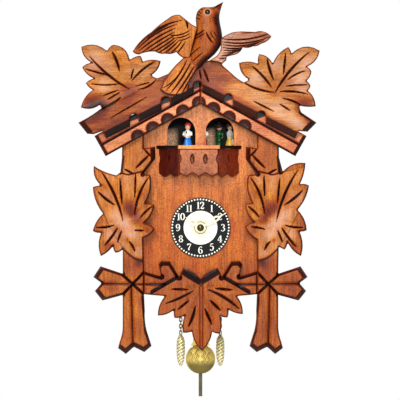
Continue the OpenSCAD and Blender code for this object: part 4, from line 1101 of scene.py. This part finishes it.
# strokes of each figure in a box 1 wide and 1 high: points, then widths there
FIGURES = {
    "1": [([(0.5, 0.98), (0.5, 0.66), (0.5, 0.33), (0.5, 0.02)], [0.2] * 4),
          ([(0.3, 0.86), (0.4, 0.92), (0.5, 0.97)], [0.06, 0.1, 0.1]),
          ([(0.27, 0.03), (0.5, 0.03), (0.73, 0.03)], [0.07] * 3)],
    "2": [([(0.22, 0.7), (0.24, 0.88), (0.48, 0.97), (0.72, 0.86), (0.74, 0.68), (0.56, 0.42),
           (0.32, 0.2), (0.18, 0.07)], [0.2, 0.14, 0.08, 0.18, 0.2, 0.14, 0.1, 0.08]),
          ([(0.17, 0.09), (0.45, 0.1), (0.72, 0.07), (0.84, 0.26)], [0.1, 0.17, 0.15, 0.05])],
    "3": [([(0.22, 0.8), (0.3, 0.94), (0.52, 0.96), (0.7, 0.8), (0.62, 0.6), (0.42, 0.53)],
           [0.16, 0.1, 0.08, 0.19, 0.13, 0.07]),
          ([(0.42, 0.53), (0.68, 0.46), (0.76, 0.26), (0.6, 0.05), (0.34, 0.03), (0.2, 0.16)],
           [0.07, 0.13, 0.2, 0.1, 0.08, 0.17])],
    "4": [([(0.6, 0.98), (0.35, 0.64), (0.1, 0.31)], [0.09] * 3),
          ([(0.08, 0.3), (0.5, 0.3), (0.9, 0.3)], [0.09] * 3),
          ([(0.62, 0.96), (0.62, 0.5), (0.62, 0.03)], [0.2] * 3),
          ([(0.42, 0.03), (0.62, 0.03), (0.82, 0.03)], [0.07] * 3)],
    "5": [([(0.26, 0.9), (0.5, 0.92), (0.76, 0.95)], [0.14, 0.16, 0.06]),
          ([(0.28, 0.93), (0.27, 0.75), (0.25, 0.54)], [0.07] * 3),
          ([(0.25, 0.55), (0.48, 0.62), (0.72, 0.52), (0.77, 0.3), (0.6, 0.06), (0.34, 0.03),
           (0.2, 0.16)], [0.07, 0.1, 0.17, 0.2, 0.11, 0.08, 0.17])],
    "6": [([(0.74, 0.82), (0.62, 0.94), (0.44, 0.92), (0.25, 0.7), (0.2, 0.4), (0.3, 0.1),
           (0.52, 0.03), (0.74, 0.14), (0.78, 0.32), (0.68, 0.52), (0.48, 0.56), (0.28, 0.44)],
           [0.15, 0.1, 0.08, 0.16, 0.2, 0.15, 0.08, 0.14, 0.2, 0.13, 0.08, 0.07])],
    "7": [([(0.2, 0.7), (0.22, 0.87), (0.5, 0.9), (0.82, 0.9)], [0.06, 0.16, 0.16, 0.13]),
          ([(0.82, 0.92), (0.62, 0.6), (0.46, 0.3), (0.42, 0.05)], [0.09, 0.12, 0.18, 0.2])],
    "8": [([(0.5, 0.53), (0.3, 0.62), (0.24, 0.78), (0.48, 0.96), (0.72, 0.8), (0.66, 0.62),
           (0.5, 0.53)], [0.1, 0.13, 0.17, 0.08, 0.15, 0.1, 0.12]),
          ([(0.5, 0.53), (0.28, 0.42), (0.2, 0.24), (0.48, 0.03), (0.78, 0.24), (0.7, 0.42),
           (0.5, 0.53)], [0.12, 0.12, 0.17, 0.08, 0.2, 0.15, 0.12])],
    "0": [([(0.5, 0.97), (0.28, 0.82), (0.2, 0.5), (0.28, 0.17), (0.5, 0.03)],
           [0.08, 0.17, 0.2, 0.17, 0.08]),
          ([(0.5, 0.97), (0.72, 0.82), (0.8, 0.5), (0.72, 0.17), (0.5, 0.03)],
           [0.08, 0.17, 0.2, 0.17, 0.08])],
}
FIGURES["9"] = [([(1 - x, 1 - z) for x, z in line], widths) for line, widths in FIGURES["6"]]


def numeral(text, x, z, height=4.5, wide=3.5):
    """The strokes of a number centred on (x, z); a 1 takes less room than the others."""
    advance = [0.58 if c == "1" else 0.8 for c in text]
    start = -sum(advance) / 2
    parts = []
    for c, a in zip(text, advance):
        middle = start + a / 2
        for line, widths in FIGURES[c]:
            line = [(x + (u - 0.5 + middle) * wide, z + (v - 0.5) * height) for u, v in line]
            parts.append(ribbon(line, [w * wide * 1.05 for w in widths]))
        start += a
    return parts


def joined(parts):
    """Several (points, faces) made one."""
    points, faces, start = [], [], 0
    for p, f in parts:
        points.append(p)
        faces += [[i + start for i in face] for face in f]
        start += len(p)
    return np.vstack(points), faces


DIAL_FACE = np.array(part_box("dial"))[0, 1] / MM
HOURS_X, HOURS_Z = 14.1, 13.9   # mm from the centre to the numerals
MINUTES_R = 17.7
TICK = 0.45                     # half the length of a minute mark
marks = []
for hour in range(1, 13):
    a = math.radians(30 * hour)
    marks += numeral(str(hour), HOURS_X * math.sin(a), HOURS_Z * math.cos(a))
for minute in range(60):
    a = math.radians(6 * minute)
    x, z = MINUTES_R * math.sin(a), MINUTES_R * math.cos(a)
    dx, dz = TICK * math.cos(a), TICK * math.sin(a)
    marks.append(ribbon([(x - dx, z + dz), (x, z), (x + dx, z - dz)], [0.75, 0.95, 0.75]))
print("numeral and minute strokes", len(marks))

# %% The white centre and the finished print
ROUND = 96
around = np.linspace(0, 2 * math.pi, ROUND + 1)[:-1]
inner, outer = 4.1, 10.55
circle = [np.stack([r * np.sin(around), np.full(ROUND, y), r * np.cos(around)], axis=1)
          for r, y in ((inner, 0.0), (outer, 0.0), (outer, INK), (inner, INK))]
centre_faces = ring_faces(4, ROUND)[:-2]
k = np.arange(ROUND)
following = (k + 1) % ROUND
centre_faces += np.stack([k + 3 * ROUND, following + 3 * ROUND, following, k], axis=1).tolist()
marks.append((np.vstack(circle), [f[::-1] for f in centre_faces]))
print_points, print_faces = joined(marks)
print_points = print_points + [0, DIAL_FACE - INK, DIAL_Z]
piece("dial_print", None, "case", "paint_white", print_points, print_faces)

# %% [markdown]
# ## Dancers
# Figures a little under 20 mm tall: skirt, blouse, arms, head and hair. The real ones are turned
# on a lathe and painted, so each part here is a turned profile too, and the parts of one figure
# make one piece with several paints. At this size more detail would not be seen.

# %% Turned figure
def turned(profile, columns=28):
    """Radius as a function of height, turned about the upright axis: (r cos a, r sin a, h)."""
    rows = spline(profile, len(profile) * 4)
    r, h = np.maximum(rows[:, 0], 0.02), rows[:, 1]
    a = np.linspace(0, 2 * math.pi, columns, endpoint=False)
    points = np.stack([r[:, None] * np.cos(a), r[:, None] * np.sin(a),
                       np.repeat(h[:, None], columns, 1)], axis=-1)
    return points.reshape(-1, 3), ring_faces(len(rows), columns)


def ball(x, y, z, rx, ry, rz):
    """A stretched sphere as a turned half circle."""
    angles = np.radians(np.linspace(-90, 90, 9))
    points, faces = turned([(math.cos(t), math.sin(t)) for t in angles], 18)
    return points * [rx, ry, rz] + [x, y, z], faces


LIMB = [(0.0, 0), (0.75, 0.12), (1, 0.35), (0.95, 0.8), (0.7, 0.95), (0.0, 1)]


def limb(a, b, r):
    """A sleeve or arm: a tube from a to b with round ends."""
    a, b = np.array(a, float), np.array(b, float)
    points, faces = turned(LIMB, 14)
    axis = b - a
    long = np.linalg.norm(axis)
    w = axis / long
    u = np.cross(w, [0, 1, 0.01])
    u /= np.linalg.norm(u)
    v = np.cross(w, u)
    return a + r * points[:, :1] * u + r * points[:, 1:2] * v + long * points[:, 2:] * w, faces


# radius and height of each part's profile, in mm
SKIRT = [(0.0, 0.0), (3.1, 0.05), (3.25, 0.5), (3.15, 2.5), (2.7, 5.5), (1.9, 8.4), (1.45, 9.6),
         (0.0, 9.7)]
TROUSERS = [(0.0, 0.0), (1.8, 0.05), (1.75, 1.0), (1.5, 4.0), (1.6, 7.0), (2.1, 7.6), (1.9, 9.4),
            (0.0, 9.5)]
BLOUSE = [(0.0, 9.2), (1.5, 9.3), (1.75, 10.4), (2.15, 12.0), (1.95, 13.4), (0.9, 14.4),
          (0.75, 15.2), (0.0, 15.3)]
HAT = [(0.0, 18.0), (2.9, 18.05), (2.9, 18.4), (1.6, 18.6), (1.35, 20.0), (0.0, 20.1)]
TALL = 19.6    # mm that these profiles add up to


def figure(name, node, skirted, lower, upper, hair, apron):
    """Paints are finish names; the figure stands where the CAD one does and faces outwards."""
    low, high = np.array(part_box(node)) / MM
    disc = np.array(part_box("turntable")) / MM
    place = np.array([(low[0] + high[0]) / 2, (low[1] + high[1]) / 2])
    centre = (disc[0, :2] + disc[1, :2]) / 2
    facing = math.atan2(place[0] - centre[0], -(place[1] - centre[1]))
    parts = [(lower, turned(SKIRT if skirted else TROUSERS)), (upper, turned(BLOUSE)),
             ("skin", ball(0, -0.1, 16.3, 1.75, 1.7, 2.0)),
             ("skin", ball(0, -1.75, 16.2, 0.32, 0.35, 0.3)),
             (hair, ball(0, 0.35, 17.3, 2.1, 2.0, 1.75))]
    for s in (-1, 1):
        parts += [(upper, limb((s * 1.9, 0, 13.4), (s * 2.75, -0.7, 10.6), 0.95)),
                  ("skin", limb((s * 2.7, -0.8, 10.8), (s * 0.6, -2.1, 10.2), 0.5)),
                  ("bead", ball(s * 0.65, -1.62, 16.7, 0.2, 0.15, 0.26))]
    if skirted:
        parts.append((apron, ball(0, -1.75, 5.0, 1.5, 1.25, 4.2)))
        parts.append(("hair_brown", ball(0, -1.9, 12.6, 0.55, 0.35, 0.9)))
    else:
        parts.append((hair, turned(HAT)))
        parts += [(apron, limb((s * 0.8, -1.85, 9.0), (s * 1.0, -1.6, 13.6), 0.3)) for s in (-1, 1)]
    scale = min((high[2] - low[2]) / TALL, 1.0)
    points, faces = joined([part for _, part in parts])
    c, s = math.cos(facing), math.sin(facing)
    x, y, z = points.T
    points = np.stack([x * c - y * s, x * s + y * c, z], axis=1)
    points[:, :2] += place
    points[:, 2] = low[2] + points[:, 2] * scale
    obj = piece(name, node, "dance_disc", lower, points, faces, corner=60)
    paints = list(dict.fromkeys(paint for paint, _ in parts))
    for paint in paints[1:]:
        obj.data.materials.append(FINISH[paint])
    index = np.concatenate([np.full(len(part[1]), paints.index(paint)) for paint, part in parts])
    obj.data.polygons.foreach_set("material_index", index.astype(np.int32))


for colour, skirted, upper, hair, apron in (
        ("blue", True, "paint_white", "paint_red", "paint_blue"),
        ("yellow", True, "paint_white", "hair_brown", "paint_white"),
        ("green", False, "paint_green", "paint_dark", "paint_white"),
        ("red", True, "paint_white", "hair_brown", "paint_white")):
    figure(f"dancer_in_{colour}", f"dancer_{colour}", skirted, f"paint_{colour}", upper, hair,
           apron)

# %% [markdown]
# ## Pendulum bob and cone weights
# The bob is pressed sheet brass, domed, with leaves and a zigzag raised on it, which the carved
# boards' grid of heights makes just as well. The weights are cast as little fir cones: a turned
# spindle whose radius carries rows of scales, because several hundred modelled scales would be
# far more mesh for the same look.

# %% Bob
bob_low, bob_high = np.array(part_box("pendulum_bob")) / MM
BOB_R = (bob_high[0] - bob_low[0]) / 2
BOB_Z = bob_low[2] + BOB_R - DIAL_Z
# centre lines of the raised ribs on the right half, from the bob's middle; the left mirrors them
BOB_RIBS = [(1.4, 5.4, 2.9, 3.4), (2.9, 3.4, 1.3, 1.6), (1.3, 1.6, 3.0, -0.2),
            (3.0, -0.2, 1.2, -2.0), (5.6, 3.6, 4.0, 1.2), (4.0, 1.2, 5.4, -0.6),
            (4.4, -1.6, 2.6, -3.0)]
BOB_LEAF = [(1.6, 9.0), (2.6, 11.2), (4.4, 13.4), (4.9, 10.4), (6.2, 8.6), (4.2, 7.9)]


def bob_shape(p, rim):
    """A dome 2.75 (1 - sqrt(1 - r^2)) deep, r being 1 at its rim, with ribs 0.35 high on it."""
    x, z = p[:, 0], p[:, 1] - BOB_Z
    r = np.hypot(x, z) / BOB_R
    depth = 2.75 * (1 - np.sqrt(np.clip(1 - np.minimum(r, 1) ** 2, 0, 1)))
    ribs = np.zeros(len(p))
    for s in (-1, 1):
        d, _ = nearest(np.stack([x, z], axis=1), lines_of(*BOB_RIBS, side=s))
        ribs = np.maximum(ribs, np.exp(-(d / 0.45) ** 2))
    depth = depth + 0.35 - 0.35 * ribs * (r < 0.9)
    top = soft(z, 6.2, 8.0) * (r > 1)
    lined = 0.85 * np.exp(-((ribs - 0.4) / 0.25) ** 2)
    # the lower half darkens towards dark olive: a painted reflection; the flanks of the ribs are
    # lined dark
    return depth + 1.2 * top, np.maximum(0.9 * soft(-z, -1.0, 4.5), lined)


def bob_rim():
    """The disc, and the two leaves that stand on it, as one outline of straight segments."""
    a = np.radians(np.arange(0, 360, 5))
    disc = np.stack([BOB_R * np.sin(a), BOB_R * np.cos(a)], axis=1)
    leaves = [(-x, z) for x, z in BOB_LEAF[::-1]] + BOB_LEAF
    keep = disc[disc[:, 1] < 7.6]
    order = np.argsort(np.arctan2(keep[:, 0], keep[:, 1]) % (2 * math.pi))
    outline = np.vstack([leaves, keep[order]]) + [0.0, BOB_Z]
    return np.stack([outline, np.roll(outline, -1, axis=0)], axis=1)


points, faces, stain = relief(bob_rim(), bob_low[1], bob_high[1], bob_shape, 0.25)
piece("bob_pressing", "pendulum_bob", "pendulum", "gilt", points, faces, stain, 30)


# %% Cones
# radius in mm against the share of the length below the top
SPINDLE = [(0.1, 0.0), (0.42, 0.012), (0.45, 0.045), (1.4, 0.07), (1.9, 0.11), (2.2, 0.16),
           (2.5, 0.32), (2.58, 0.48), (2.45, 0.65), (2.0, 0.82), (1.3, 0.93), (0.5, 0.99),
           (0.1, 1.0)]


def cone_surface(node, rows=120, columns=64):
    """Radius = spindle * (0.84 + 0.22 scale); scale is 0 in the furrows between the fir scales.

    Two sets of furrows wind round the spindle, four one way and six the other.
    """
    low, high = np.array(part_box(node)) / MM
    x, y = (low[0] + high[0]) / 2, (low[1] + high[1]) / 2
    top = high[2]
    length = top - low[2]
    profile = spline(SPINDLE, rows)
    t = profile[:, 1][:, None]
    r = np.maximum(profile[:, 0], 0.05)[:, None]
    a = np.linspace(0, 2 * math.pi, columns, endpoint=False)[None]
    one = (a * 2 / math.pi + t * 10) % 1
    two = (a * 3 / math.pi - t * 6) % 1
    scale = np.minimum(1.1 * np.minimum(one, 1 - one), 0.12 + np.minimum(two, 1 - two)) * 2
    r = r * (0.84 + 0.22 * np.minimum(scale * 1.6, 1) * soft(t, 0.1, 0.2))
    height = np.broadcast_to(top - t * length, r.shape)
    points = np.stack([x + r * np.cos(a), y + r * np.sin(a), height], axis=-1).reshape(-1, 3)
    stain = np.broadcast_to(0.72 * (1 - soft(scale, 0.1, 0.7)), r.shape).reshape(-1)
    return points, [face[::-1] for face in ring_faces(rows, columns)], stain


for side in ("left", "right"):
    points, faces, stain = cone_surface(f"cone_{side}")
    piece(f"cone_{side}_weight", f"cone_{side}", f"{side}_cone", "gilt_cone",
          points, faces, stain, 70)

# %% [markdown]
# ## Floor
# A plain pale floor lies 0.6 m below, as a room's would. Behind the clock there is only white
# light: a wall would hide it from every camera that looks from behind.

# %% Stage
FLOOR_Z = -0.6
REACH = 3
mesh = bpy.data.meshes.new("floor")
corners = [(x * REACH, y * REACH, FLOOR_Z) for x, y in ((-1, -1), (1, -1), (1, 1), (-1, 1))]
mesh.from_pydata(corners, [], [[0, 1, 2, 3]])
mesh.materials.append(blank("floor_paint", "#f2f1ee", 0.9)[0])
floor = bpy.data.objects.new("floor", mesh)
bpy.context.collection.objects.link(floor)
print("floor at", FLOOR_Z)
